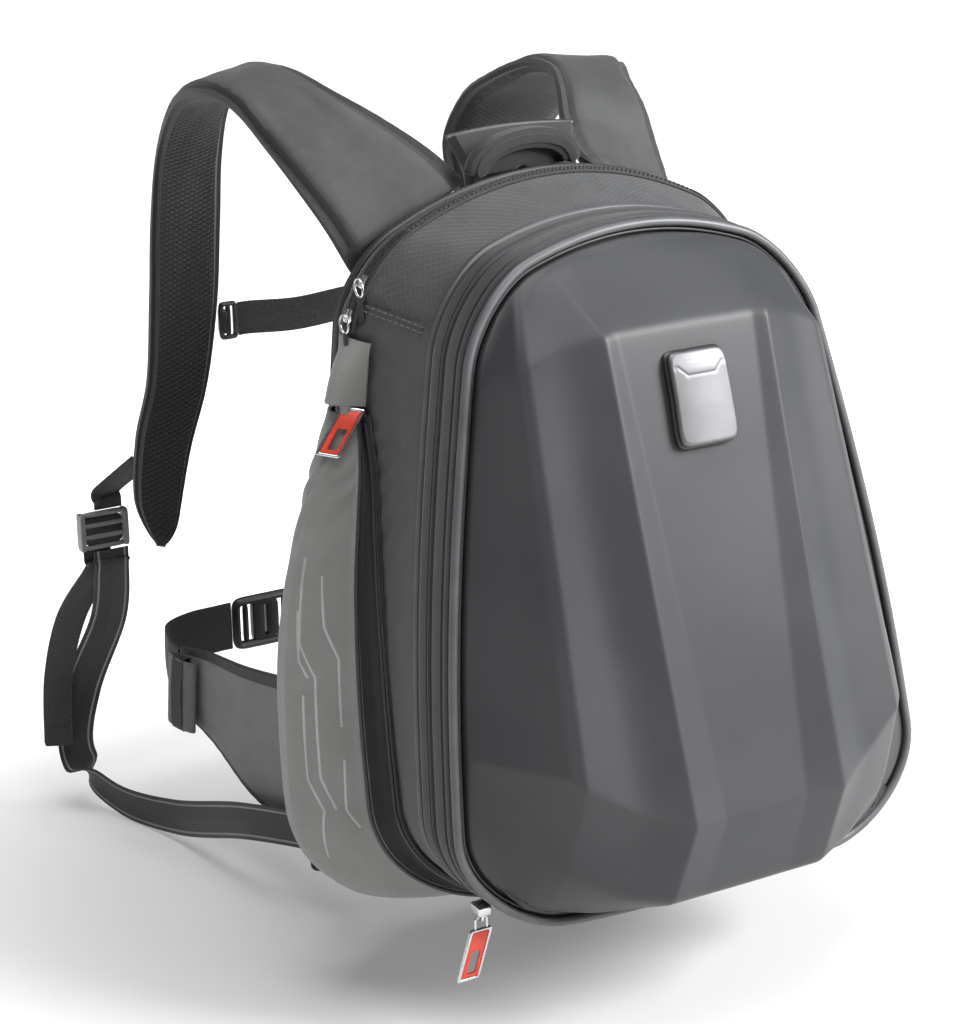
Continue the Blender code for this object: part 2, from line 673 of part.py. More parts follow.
def webbing(name, centres, across, width, material="webbing", thickness=WEBBING_THICKNESS, steps=2):
    """Band of even width through centre points, with a width direction at each of them."""
    path = smooth_path(centres, steps)
    turned = smooth_path([Vector(direction) for direction in across], steps)
    inner, outer = [], []
    for index, (point, direction) in enumerate(zip(path, turned)):
        along = path[min(index + 1, len(path) - 1)] - path[max(index - 1, 0)]
        side = (direction - along * (direction.dot(along) / along.length_squared)).normalized()
        inner.append(point - side * width / 2)
        outer.append(point + side * width / 2)
    return band(name, inner, outer, thickness, material)


def build_straps():
    for (name, side), edges in zip(SIDES, (LEFT_STRAP_EDGES, RIGHT_STRAP_EDGES)):
        inner = smooth_path([harness_point(*edge, side=side) for edge, _ in edges])
        outer = smooth_path([harness_point(*edge, side=side) for _, edge in edges])
        band("shoulder_strap_" + name, inner, outer, STRAP_THICKNESS, "dark_fabric", round_edge=0.3)


def build_yoke():
    rows = []
    for share in YOKE_ACROSS:
        spine = []
        for left, right, behind, height in YOKE_LEVELS:
            x = (left + right) / 2 + share * (right - left) / 2
            spine.append(Vector((x, ROOT_Y + behind, height * HARNESS_TOP)))
        spine[0].z -= YOKE_SAG * (1 - share ** 2)
        spine[-1].z -= YOKE_CROWN * share ** 2
        front, rear = [], []
        for index, point in enumerate(spine):
            along = spine[min(index + 1, len(spine) - 1)] - spine[max(index - 1, 0)]
            out = Vector((0, along.z, -along.y)).normalized() * YOKE_THICKNESS / 2
            front.append(point - out)
            rear.append(point + out)
        edge = spine[-1] + (spine[-1] - spine[-2]).normalized() * YOKE_ROLL
        rows.append([*front, edge, *rear[::-1]])
    add_loft("harness_yoke", rows, "dark_fabric", closed_columns=True, caps=True)


def panel_top(x):
    """Height of the back panel's top edge at a distance from the middle."""
    return BACK_TOP - WALL_FRONT_INSET - BACK_CROWN * (x / (BACK_TOP_WIDTH / 2)) ** 2


def build_handle():
    reach = HANDLE_HALF_SPAN - HANDLE_THICKNESS / 2
    feet = [panel_top(HANDLE_X + side * reach) + HANDLE_SEAT for side in (-1, 1)]
    centres = []
    for degrees in HANDLE_TURNS:
        turn = radians(degrees)
        foot = feet[0] + (feet[1] - feet[0]) * (1 - cos(turn)) / 2
        x = HANDLE_X - HANDLE_HALF_SPAN * cos(turn)
        centres.append(Vector((x, HANDLE_Y, foot + HANDLE_RISE * sin(turn) ** 0.8)))
    across = [(0, 1, 0)] * len(centres)
    webbing("grab_handle", centres, across, HANDLE_WIDTH, "dark_fabric", HANDLE_THICKNESS)


def lock_lead(place, side, upward):
    """Points of webbing that leaves the ladder lock straight down or straight up."""
    sideways, behind = place
    end = harness_point(*LOCK_CENTRE, side=side) + Vector((side * sideways, behind, 0))
    end.z += upward * (LOCK_SIZE[2] / 2 + LOCK_CLEARANCE)
    return [end + Vector((0, 0, upward * LOCK_LEAD * share)) for share in (0, 0.5, 1)]


def tab_lead(side):
    """Points of webbing that runs straight into the tab at the body's lower corner."""
    end = harness_point(ADJUST_ROOT_X, 0, TAB_CENTRE_Z, side)
    end.y = PANEL_FACE_Y + GAP + TAB_SIZE[1] + 2 * GAP
    return [end + Vector((0, LOCK_LEAD * steps, 0)) for steps in (2, 1, 0)]


def routed(name, route, side, width, before=(), after=(), after_across=(1, 0, 0)):
    centres = [*before, *(harness_point(*point, side=side) for point, _ in route), *after]
    across = [(side, 0, 0)] * len(before) + [(side * x, y, z) for _, (x, y, z) in route]
    across += [(side * after_across[0], *after_across[1:])] * len(after)
    return webbing(name, centres, across, width)


def box(name, size, centre, material, turn=None, bevel=0.0):
    work = bmesh.new()
    bmesh.ops.create_cube(work, size=1.0)
    bmesh.ops.scale(work, vec=Vector(size), verts=work.verts)
    if turn:
        bmesh.ops.rotate(work, matrix=turn, verts=work.verts)
    bmesh.ops.translate(work, vec=Vector(centre), verts=work.verts)
    piece = add_bmesh(name, work, material)
    if bevel:
        soft = piece.modifiers.new("soft_edges", 'BEVEL')
        soft.width = bevel
        soft.segments = 1
    return piece


def build_webbing():
    for name, side in SIDES:
        routed("adjust_webbing_" + name, ADJUST_ROUTE, side, ADJUST_WIDTH,
               before=lock_lead(ADJUST_EXIT, side, -1), after=tab_lead(side), after_across=(0, 0, 1))
        routed("webbing_tail_" + name, TAIL_ROUTE, side, TAIL_WIDTH,
               before=lock_lead(TAIL_EXIT, side, -1))
        routed("strap_tab_" + name, TAB_ROUTE, side, TAIL_WIDTH,
               after=lock_lead(TAB_ENTRY, side, 1)[::-1])
        lock_centre = harness_point(*LOCK_CENTRE, side=side)
        box("ladder_lock_" + name, LOCK_SIZE, lock_centre, "buckle_plastic", bevel=CLIP_EDGE)
        bottom = smooth_path([harness_point(*low, side=side) for low, _ in WING_ROWS])
        top = smooth_path([harness_point(*high, side=side) for _, high in WING_ROWS])
        band("hip_wing_" + name, bottom, top, WING_THICKNESS, "pocket_fabric", round_edge=0.15)


def build_belts():
    buckle = harness_point(0, BELT_BUCKLE_Y, BELT_BUCKLE_Z)
    buckle.x = BUCKLE_X
    box("hip_buckle", BUCKLE_SIZE, buckle, "buckle_plastic", bevel=BUCKLE_EDGE)
    for name, side in SIDES:
        route = [harness_point(*point, side=side) for point, _ in BELT_ROUTE]
        if name == "r":
            route += [harness_point(*point) for point in BELT_RIGHT_END]
        end_x = BUCKLE_X + side * (BUCKLE_SIZE[0] / 2 + 2 * GAP)
        route.append(Vector((end_x + side * BELT_LEAD, buckle.y, buckle.z)))
        route.append(Vector((end_x, buckle.y, buckle.z)))
        webbing("hip_webbing_" + name, route, [(0, 0, 1)] * len(route), BELT_WIDTH)
        bundle = [harness_point(*point, side=side) for point, _ in BUNDLE_ROUTE]
        webbing("webbing_bundle_" + name, bundle, [d for _, d in BUNDLE_ROUTE], BUNDLE_WIDTH,
                thickness=BUNDLE_THICKNESS)
        tab_centre = harness_point(TAB_CENTRE_X, 0, TAB_CENTRE_Z, side)
        tab_centre.y = PANEL_FACE_Y + GAP + TAB_SIZE[1] / 2
        box("lower_tab_" + name, TAB_SIZE, tab_centre, "dark_fabric")


def build_sternum():
    middle = harness_point(0, STERNUM_REACH, STERNUM_HEIGHT)
    box("sternum_buckle", STERNUM_BUCKLE, middle, "buckle_plastic", bevel=CLIP_EDGE)
    for name, side in SIDES:
        adjuster = harness_point(ADJUSTER_X[name], STERNUM_REACH, STERNUM_HEIGHT, side)
        box("sternum_adjuster_" + name, ADJUSTER_SIZE, adjuster, "buckle_plastic",
            bevel=ADJUSTER_EDGE)
        start = adjuster - Vector((side * (ADJUSTER_SIZE[0] / 2 + GAP), 0, 0))
        end = middle + Vector((side * (STERNUM_BUCKLE[0] / 2 + GAP), 0, 0))
        start -= Vector((side * 2 * GAP, 0, 0))
        end += Vector((side * 2 * GAP, 0, 0))
        straight = Vector((side * STERNUM_STRAIGHT, 0, 0))
        route = [start, start - straight, start.lerp(end, 0.5) + Vector(STERNUM_SAG), end + straight, end]
        webbing("sternum_webbing_" + name, route, [(0, 0, 1)] * len(route), STERNUM_WIDTH)


def build_zip():
    rows = []
    for place in ZIP_PLACES:
        row = []
        for across, raised in zip(ZIP_ACROSS, ZIP_RAISE):
            point, normal = on_wall(place, across)
            row.append(point + normal * (POCKET_HEM + ZIP_TAPE + raised))
        rows.append(row)
    thicken(add_loft("main_zip", rows, "webbing"), ZIP_TAPE)
    for number, place in enumerate(SLIDER_PLACES, start=1):
        point, normal = on_wall(place, ZIP_ACROSS[1])
        along = (on_wall(place + 0.2, ZIP_ACROSS[1])[0] - point).normalized()
        turn = Matrix((along, normal.cross(along), normal)).transposed()
        lift = POCKET_HEM + ZIP_TAPE + ZIP_RAISE[1] + GAP + SLIDER_SIZE[2] / 2
        box("main_zip_slider_%d" % number, SLIDER_SIZE, point + normal * lift, "dark_chrome", turn=turn,
            bevel=SLIDER_EDGE)


def build_hoods():
    rows = []
    for place, raised in zip(HOOD_PLACES, HOOD_LENGTH_ARCH):
        row = []
        for across, arch in zip(HOOD_ACROSS, HOOD_ARCH):
            point, normal = on_wall(place, across)
            row.append(point + normal * (HOOD_SEAT + HOOD_HEIGHT * arch * raised))
        rows.append(row)
    for name, ordered in (("l", mirrored_rows(rows)[::-1]), ("r", rows)):
        thicken(add_loft("pocket_hood_" + name, ordered, "pocket_fabric"), POCKET_FABRIC)


def boolean(piece, other, operation):
    """Union or difference, and the other piece is put away as a guide."""
    cut = piece.modifiers.new(operation.lower(), 'BOOLEAN')
    cut.object = other
    cut.operation = operation
    cut.solver = 'EXACT'
    other.hide_render = True
    other.display_type = 'WIRE'
    collection.objects.unlink(other)
    cutters.objects.link(other)


def pull_frame(name, centre, up, out, parent=frame_empty, slant=PULL_SLANT):
    """Slanted frame with a window, and the insert that fills the window's upper part."""
    frame = rounded_plate(name + "_frame", PULL_WIDTH, PULL_HEIGHT, PULL_CORNER, PULL_THICKNESS, centre,
                          up, out, "dark_chrome", slant=slant)
    window_width = PULL_WIDTH - 2 * PULL_BORDER
    window_height = PULL_HEIGHT - 2 * PULL_BORDER
    window = rounded_plate(name + "_window", window_width, window_height, PULL_CORNER, 3 * PULL_THICKNESS,
                           centre - out * PULL_THICKNESS, up, out, "dark_chrome", slant=slant)
    boolean(frame, window, 'DIFFERENCE')
    insert = rounded_plate(name + "_insert", window_width - 2 * GAP, window_height - 2 * GAP, PULL_CORNER,
                           PULL_THICKNESS * INSERT_SHARE,
                           centre + out * PULL_THICKNESS * (1 - INSERT_SHARE) / 2, up, out, "pull_red",
                           slant=slant)
    width_share, height_share, drop_share = INSERT_HOLE
    hole_centre = centre - out * PULL_THICKNESS - up * window_height * drop_share
    hole = rounded_plate(name + "_hole", window_width * width_share, window_height * height_share,
                         PULL_CORNER / 2, 3 * PULL_THICKNESS, hole_centre, up, out, "pull_red",
                         slant=slant / 2)
    boolean(insert, hole, 'DIFFERENCE')
    for piece in (frame, window, insert, hole):
        piece.parent = parent
    return frame, insert


def build_side_pulls():
    rows = pocket_rows()
    low, high = rows[-2], rows[-1]
    below, above = low[SIDE_PULL_COLUMN], high[SIDE_PULL_COLUMN]
    up = (above - below).normalized()
    out = (low[SIDE_PULL_COLUMN + 1] - low[SIDE_PULL_COLUMN - 1]).cross(up).normalized()
    centre = below.lerp(above, SIDE_PULL_SHARE) + out * SIDE_PULL_LIFT
    flip = Matrix.Diagonal((-1, 1, 1))
    pull_frame("side_pull_r", centre, up, out, slant=-PULL_SLANT)
    pull_frame("side_pull_l", flip @ centre, flip @ up, flip @ out)


def outline_height(x):
    """Height of the rim outline's lower edge at a distance from the middle."""
    half = rim[:len(rim) // 2]
    for a, b in zip(half, half[1:]):
        if a.x <= abs(x) <= b.x:
            return a.lerp(b, (abs(x) - a.x) / (b.x - a.x)).z
    return 0.0


def build_front_pull():
    top = outline_height(abs(FRONT_SLIDER_X) - SLIDER_BLOCK[0] / 2) - 2 * GAP
    y = RIM_LEAN * top + GUSSET_DEPTH * FRONT_SLIDER_SHARE
    block_centre = Vector((FRONT_SLIDER_X, y, top - SLIDER_BLOCK[2] / 2))
    slider = box("front_zip_slider", SLIDER_BLOCK, block_centre, "dark_chrome")
    pivot = Vector((FRONT_SLIDER_X, y, top - SLIDER_BLOCK[2] - EYE_DROP))
    hole_radius = LINK_WIRE + PIVOT_CLEARANCE
    eye_height = EYE_DROP + hole_radius + LINK_WIRE
    eye_size = (EYE_THICKNESS, 2 * (hole_radius + LINK_WIRE), eye_height + 0.001)
    eye_centre = Vector((pivot.x, y, top - SLIDER_BLOCK[2] - eye_height / 2 + 0.0005))
    boolean(slider, box("front_eye", eye_size, eye_centre, "dark_chrome"), 'UNION')
    hole = bmesh.new()
    bmesh.ops.create_cone(hole, cap_ends=True, segments=12, radius1=hole_radius, radius2=hole_radius,
                          depth=3 * EYE_THICKNESS)
    bmesh.ops.rotate(hole, matrix=Matrix.Rotation(pi / 2, 3, 'Y'), verts=hole.verts)
    bmesh.ops.translate(hole, vec=pivot, verts=hole.verts)
    boolean(slider, add_bmesh("front_eye_hole", hole, "dark_chrome"), 'DIFFERENCE')

    pull_empty = bpy.data.objects.new("front_pull_axis", None)
    pull_empty.location = pivot
    pull_empty.parent = frame_empty
    collection.objects.link(pull_empty)

    wire = bpy.data.curves.new("front_pull_link", 'CURVE')
    wire.dimensions = '3D'
    wire.bevel_depth = LINK_WIRE
    wire.bevel_resolution = 1
    wire.use_fill_caps = True
    spline = wire.splines.new('POLY')
    half, drop, corner = LINK_HALF_WIDTH, LINK_DROP, LINK_HALF_WIDTH * 0.4
    places = [(-half, -drop), (-half, -corner), (-half + corner * 0.3, -corner * 0.3), (-half + corner, 0),
              (half - corner, 0), (half - corner * 0.3, -corner * 0.3), (half, -corner), (half, -drop)]
    spline.points.add(len(places) - 1)
    for point, (x, z) in zip(spline.points, places):
        point.co = (x, 0, z, 1)
    add_object("front_pull_link", wire, "dark_chrome", pull_empty)

    centre = Vector((-PULL_SLANT / 2, PULL_THICKNESS / 2, -drop - GAP - PULL_HEIGHT / 2))
    pull_frame("front_pull", centre, Vector((0, 0, 1)), Vector((0, -1, 0)), pull_empty)


for build in (build_shell, build_badge, build_rim, build_body, build_pockets, build_skid, build_zip,
              build_hoods, build_side_pulls, build_front_pull, build_straps, build_yoke, build_handle,
              build_webbing, build_sternum, build_belts):
    build()
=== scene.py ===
# Hard shell backpack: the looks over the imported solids. Sizes in metres, +Z up, the wearer's side at +Y.
import json
from math import cos, pi, radians, sin

import bmesh
import bpy
import numpy as np
from mathutils import Matrix, Vector


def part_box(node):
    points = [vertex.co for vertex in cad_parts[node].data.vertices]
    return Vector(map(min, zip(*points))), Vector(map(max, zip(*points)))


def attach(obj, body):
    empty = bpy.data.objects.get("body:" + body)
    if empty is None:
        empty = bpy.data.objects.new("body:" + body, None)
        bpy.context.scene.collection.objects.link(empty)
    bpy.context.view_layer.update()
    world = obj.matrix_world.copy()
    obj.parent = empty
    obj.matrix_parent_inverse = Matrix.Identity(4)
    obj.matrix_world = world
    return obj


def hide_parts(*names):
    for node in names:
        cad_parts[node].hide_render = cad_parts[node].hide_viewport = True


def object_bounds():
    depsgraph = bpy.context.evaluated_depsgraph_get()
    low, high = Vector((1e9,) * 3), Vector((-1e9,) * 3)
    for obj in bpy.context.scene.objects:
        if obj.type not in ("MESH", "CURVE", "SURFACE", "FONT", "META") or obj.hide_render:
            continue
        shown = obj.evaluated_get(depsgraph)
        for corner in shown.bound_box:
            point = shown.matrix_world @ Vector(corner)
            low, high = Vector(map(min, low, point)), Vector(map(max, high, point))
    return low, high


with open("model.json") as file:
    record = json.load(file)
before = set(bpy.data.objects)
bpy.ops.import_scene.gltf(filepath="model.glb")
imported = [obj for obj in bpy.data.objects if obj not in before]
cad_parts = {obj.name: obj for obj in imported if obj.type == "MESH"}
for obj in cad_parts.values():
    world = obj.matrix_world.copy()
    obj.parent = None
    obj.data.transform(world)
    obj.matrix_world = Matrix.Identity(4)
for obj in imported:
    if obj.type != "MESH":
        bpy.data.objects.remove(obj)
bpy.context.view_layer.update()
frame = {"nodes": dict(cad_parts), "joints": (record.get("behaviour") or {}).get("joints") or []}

# The tables are laid out from the lowest point of the shell's rim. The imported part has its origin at
# the middle of the back panel's rear face, so every mesh is moved by this much.
originShift = np.array((0.0, 0.2003, 0.21675))


# Shader maths: a socket that can be added, multiplied and compared

class Wire:
    def __init__(self, tree, socket):
        self.tree, self.socket = tree, socket

    def maths(self, operation, other=None, swapped=False):
        node = self.tree.nodes.new("ShaderNodeMath")
        node.operation = operation
        values = [other, self] if swapped else [self, other]
        for place, value in zip(node.inputs, values):
            if isinstance(value, Wire):
                self.tree.links.new(value.socket, place)
            elif value is not None:
                place.default_value = value
        return Wire(self.tree, node.outputs[0])

    def __add__(self, other):
        return self.maths("ADD", other)

    def __radd__(self, other):
        return self.maths("ADD", other)

    def __sub__(self, other):
        return self.maths("SUBTRACT", other)

    def __rsub__(self, other):
        return self.maths("SUBTRACT", other, swapped=True)

    def __mul__(self, other):
        return self.maths("MULTIPLY", other)

    def __rmul__(self, other):
        return self.maths("MULTIPLY", other)

    def __truediv__(self, other):
        return self.maths("DIVIDE", other)

    def __gt__(self, other):
        return self.maths("GREATER_THAN", other)

    def __lt__(self, other):
        return self.maths("LESS_THAN", other)

    def __abs__(self):
        return self.maths("ABSOLUTE")

    def sine(self):
        return self.maths("SINE")

    def fraction(self):
        return self.maths("FRACT")

    def most(self, other):
        return self.maths("MAXIMUM", other)

    def least(self, other):
        return self.maths("MINIMUM", other)


# A material under construction
class Finish:
    def __init__(self, name, colour, roughness, metallic=0.0, fixed=()):
        self.material = bpy.data.materials.new(name)
        self.material.use_nodes = True
        self.tree = self.material.node_tree
        self.shader = self.tree.nodes["Principled BSDF"]
        self.set("Base Color", (*colour, 1.0))
        self.set("Roughness", roughness)
        self.set("Metallic", metallic)
        for socket, value in dict(fixed).items():
            self.set(socket, value)

    def set(self, socket, value):
        if isinstance(value, Wire):
            self.tree.links.new(value.socket, self.shader.inputs[socket])
        else:
            self.shader.inputs[socket].default_value = value

    def node(self, kind, settings=(), out=0, sockets=()):
        made = self.tree.nodes.new("ShaderNode" + kind)
        for key, value in dict(settings).items():
            if key == "stops":
                for stop, (place, shade) in zip(made.color_ramp.elements, value):
                    stop.position, stop.color = place, (shade, shade, shade, 1)
            else:
                setattr(made, key, value)
        for key, value in dict(sockets).items():
            place = made.inputs[key]
            if isinstance(value, Wire):
                self.tree.links.new(value.socket, place)
            else:
                place.default_value = value
        return Wire(self.tree, made.outputs[out])

    # Mix of two colours, each a triple or a Wire
    def blendColours(self, share, first, second):
        ends = [value if isinstance(value, Wire) else (*value, 1.0) for value in (first, second)]
        return self.node("Mix", {"data_type": "RGBA"}, out=2, sockets={0: share, 6: ends[0], 7: ends[1]})

    def softStep(self, value, low, high):
        return self.node("MapRange", {"interpolation_type": "SMOOTHSTEP"},
                         sockets={"Value": value, "From Min": low, "From Max": high})

    def noise(self, scale, detail=2.0, roughness=0.5, distortion=0.0, vector=None):
        place = vector or self.node("TexCoord", out=3)
        return self.node("TexNoise", sockets={"Vector": place, "Scale": scale, "Detail": detail,
                                              "Roughness": roughness, "Distortion": distortion})

    # Metres across and along a piece
    def clothUv(self):
        split = self.tree.nodes.new("ShaderNodeSeparateXYZ")
        self.tree.links.new(self.node("UVMap").socket, split.inputs[0])
        return Wire(self.tree, split.outputs[0]), Wire(self.tree, split.outputs[1])

    def position(self):
        split = self.tree.nodes.new("ShaderNodeSeparateXYZ")
        self.tree.links.new(self.node("TexCoord", out=3).socket, split.inputs[0])
        return [Wire(self.tree, output) for output in split.outputs]

    def bump(self, height, strength, distance, under=None):
        sockets = {"Height": height, "Strength": strength, "Distance": distance}
        if under is not None:
            sockets["Normal"] = under
        return self.node("Bump", sockets=sockets)


# Base colour that wanders between two shades
def tones(finish, dark, light, scale, detail=3.0):
    finish.set("Base Color", finish.blendColours(finish.softStep(finish.noise(scale, detail), 0.35, 0.65),
                                                 dark, light))


finishes = {}


def shellPlastic():
    look = {"dark": (0.038, 0.039, 0.0415), "light": (0.047, 0.048, 0.0505), "grain": 1500}
    made = Finish("shellPlastic", look["dark"], 0.42, fixed={"Specular IOR Level": 0.28})
    tones(made, look["dark"], look["light"], 9)
    cloud = made.noise(14, 3)
    made.set("Roughness", 0.40 + cloud * 0.07)
    grain = made.noise(look["grain"], 2, 0.6)
    made.set("Normal", made.bump(grain, 0.16, 0.0004))
    return made


# Plain weave, with an optional ripstop grid of thicker threads
def wovenFinish(name, dark, light, pitch, roughness=0.8, strength=0.5, mottling=60, gridPitch=0.0,
                sheen=0.25, slant=False, coat=0.0):
    made = Finish(name, dark, roughness, fixed={"Sheen Weight": sheen, "Sheen Roughness": 0.45,
                                                "Coat Weight": coat, "Coat Roughness": 0.45})
    across, along = made.clothUv()
    if slant:
        across, along = (across + along) * 0.7071, (across - along) * 0.7071
    turn = 2 * pi / pitch
    threads = (across * turn).sine() * (along * turn).sine()
    height = threads * 0.5 + 0.5
    shade = made.softStep(made.noise(mottling, 4, 0.65), 0.3, 0.7)
    if gridPitch:
        ridges = []
        for way in (across, along):
            near = abs((way / gridPitch).fraction() - 0.5) * 2
            ridges.append(made.softStep(near, 0.80, 0.93))
        ridge = ridges[0].most(ridges[1])
        height = height * 0.45 + ridge * 0.9
        shade = (shade * 0.6 + ridge * 0.55).least(1.0)
    colour = made.blendColours(shade, dark, light)
    made.set("Base Color", made.blendColours(threads * 0.5 + 0.5, colour,
                                             made.blendColours(0.35, colour, (0, 0, 0))))
    made.set("Normal", made.bump(height, strength, 0.0005))
    return made


def meshLining():
    look = {"thread": (0.010, 0.010, 0.011), "hole": (0.004, 0.004, 0.004), "pitch": 0.0034}
    made = Finish("meshLining", look["thread"], 0.85, fixed={"Sheen Weight": 0.15})
    across, along = made.clothUv()
    slanted = [(across * 0.5 + along * 0.866), (across * 0.5 - along * 0.866), across]
    turn = 2 * pi / look["pitch"]
    cells = (slanted[0] * turn).sine() + (slanted[1] * turn).sine()
    ribs = made.softStep(cells, -0.4, 0.9)
    made.set("Base Color", made.blendColours(ribs, look["hole"], look["thread"]))
    made.set("Normal", made.bump(ribs, 0.9, 0.0012))
    return made


# Flat woven tape: fine chevron ribs, and two thin light lines near its edges
def webbingFinish(name, shade, stripes=0.0, width=0.028):
    made = Finish(name, shade, 0.68, fixed={"Sheen Weight": 0.2})
    across, along = made.clothUv()
    middle = abs(across - width / 2)
    ribs = ((along + middle * 0.6) * (2 * pi / 0.0018)).sine() * 0.5 + 0.5
    strands = (across * (2 * pi / 0.0022)).sine() * 0.25
    light = tuple(min(1.0, value * 1.7) for value in shade)
    colour = made.blendColours(ribs, shade, light)
    if stripes:
        line = made.softStep(abs(middle - (width / 2 - stripes)), 0.0009, 0.0005)
        colour = made.blendColours(line * 0.75, colour, (0.30, 0.30, 0.31))
    made.set("Base Color", colour)
    made.set("Normal", made.bump(ribs + strands, 0.55, 0.0005))
    return made


def mouldedPlastic(name, shade, roughness=0.42, grain=1800):
    made = Finish(name, shade, roughness)
    tones(made, shade, tuple(value * 1.25 for value in shade), 40)
    made.set("Roughness", roughness - 0.05 + made.noise(60, 3) * 0.10)
    made.set("Normal", made.bump(made.noise(grain, 2), 0.12, 0.0003))
    return made


def pipingFinish(name, shade, roughness=0.45):
    made = Finish(name, shade, roughness, fixed={"Coat Weight": 0.15, "Coat Roughness": 0.4})
    tones(made, shade, tuple(value * 1.2 for value in shade), 50)
    made.set("Normal", made.bump(made.noise(700, 3, 0.6), 0.15, 0.0004))
    return made


def brushedMetal(name, shade, roughness, streak=(4.0, 900.0, 900.0), strength=0.06):
    made = Finish(name, shade, roughness, 1.0)
    stretched = made.node("Mapping", sockets={"Vector": made.node("TexCoord", out=3), "Scale": streak})
    streaks = made.node("TexNoise", sockets={"Vector": stretched, "Scale": 1.0, "Detail": 3.0})
    made.set("Roughness", roughness - 0.05 + streaks * 0.14)
    tones(made, tuple(value * 0.93 for value in shade), shade, 60)
    made.set("Normal", made.bump(streaks, strength, 0.0003))
    return made


def makeFinishes():
    finishes.update({
        "shell": shellPlastic(),
        "ripstop": wovenFinish("ripstopTop", (0.036, 0.038, 0.040), (0.062, 0.064, 0.067), 0.0009, 0.66,
                               0.5, gridPitch=0.0042, sheen=0.25, slant=True),
        "smoothCloth": wovenFinish("sideCloth", (0.048, 0.049, 0.051), (0.062, 0.063, 0.066), 0.0008,
                                   0.62, 0.3),
        "pocket": wovenFinish("pocketCloth", (0.215, 0.214, 0.208), (0.250, 0.249, 0.243), 0.0009, 0.60,
                              0.32, mottling=25),
        # near-black colour painted as the shadow in the fold between pocket and gusset
        "pocketDark": wovenFinish("pocketGusset", (0.016, 0.016, 0.018), (0.024, 0.024, 0.026), 0.0009,
                                  0.7, 0.35),
        "overlay": wovenFinish("strapOverlay", (0.026, 0.027, 0.028), (0.038, 0.039, 0.041), 0.0010, 0.55,
                               0.35, sheen=0.2, slant=True),
        "binding": wovenFinish("boundEdge", (0.010, 0.010, 0.011), (0.016, 0.016, 0.018), 0.0011, 0.7, 0.5),
        "rib": wovenFinish("gussetTape", (0.016, 0.017, 0.020), (0.024, 0.026, 0.030), 0.0010, 0.62, 0.4),
        "wing": wovenFinish("wingCloth", (0.150, 0.151, 0.152), (0.180, 0.181, 0.182), 0.0009, 0.62, 0.35),
        "mesh": meshLining(),
        "webbing": webbingFinish("blackWebbing", (0.014, 0.014, 0.015)),
        "linedWebbing": webbingFinish("linedWebbing", (0.015, 0.015, 0.016), stripes=0.0035),
        "greyWebbing": webbingFinish("greyWebbing", (0.075, 0.076, 0.078), width=0.058),
        "zipTape": webbingFinish("zipTape", (0.010, 0.010, 0.011), width=0.012),
        "buckle": mouldedPlastic("blackBuckle", (0.020, 0.020, 0.022)),
        "greyBuckle": mouldedPlastic("greyRails", (0.16, 0.16, 0.165), 0.35),
        "piping": pipingFinish("rimPiping", (0.070, 0.072, 0.076)),
        "darkPiping": pipingFinish("seamPiping", (0.020, 0.021, 0.023), 0.5),
        "badge": brushedMetal("badgeSilver", (0.155, 0.155, 0.16), 0.50),
        "silver": brushedMetal("pullSilver", (0.62, 0.62, 0.64), 0.26, (400.0, 400.0, 400.0), 0.03),
        "red": mouldedPlastic("pullRed", (0.62, 0.055, 0.030), 0.38, 900),
        "thread": pipingFinish("greyThread", (0.11, 0.11, 0.115), 0.7),
        "lines": pipingFinish("pressedLines", (0.31, 0.31, 0.305), 0.55),
    })
    print("finishes made:", len(finishes))


makeFinishes()


# Mesh helpers

# Catmull-Rom values at places counted in keys. Keys may be points or numbers
def spline(keys, places, closed=False):
    keys = np.asarray(keys, float)
    count = len(keys)
    places = np.asarray(places, float)
    first = np.floor(places).astype(int)
    if closed:
        around = [(first + step) % count for step in (-1, 0, 1, 2)]
    else:
        first = np.clip(first, 0, count - 2)
        around = [np.clip(first + step, 0, count - 1) for step in (-1, 0, 1, 2)]
    t = (places - first).reshape((-1,) + (1,) * (keys.ndim - 1))
    a, b, c, d = (keys[index] for index in around)
    return 0.5 * (2 * b + (c - a) * t + (2 * a - 5 * b + 4 * c - d) * t ** 2
                  + (3 * b - a - 3 * c + d) * t ** 3)


def evenly(keys, count):
    return spline(keys, np.linspace(0, len(keys) - 1, count))


def unit(vectors):
    return vectors / np.maximum(np.linalg.norm(vectors, axis=-1, keepdims=True), 1e-9)


# Smooth repeatable wandering between about -1 and 1
def bumps(x, y, seed, octaves=3):
    total = 0
    for octave in range(octaves):
        grow = 1.9 ** octave
        turn = seed * 1.7 + octave * 2.3
        total = total + (np.sin(x * grow + turn + 1.3 * np.sin(y * grow * 0.7 + seed))
                         * np.cos(y * grow * 1.1 - turn * 0.6 + 0.8 * np.sin(x * grow * 0.6 - seed))) / grow
    return total / 1.6


def settle(piece, finishNames, replaced=(), body="pack", smoothAngle=40):
    for name in ([finishNames] if isinstance(finishNames, str) else finishNames):
        piece.data.materials.append(finishes[name].material)
    if piece.type == "MESH":
        piece.data.shade_smooth()
        piece.data.set_sharp_from_angle(angle=radians(smoothAngle))
    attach(piece, body)
    if replaced:
        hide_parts(*([replaced] if isinstance(replaced, str) else replaced))
    return piece


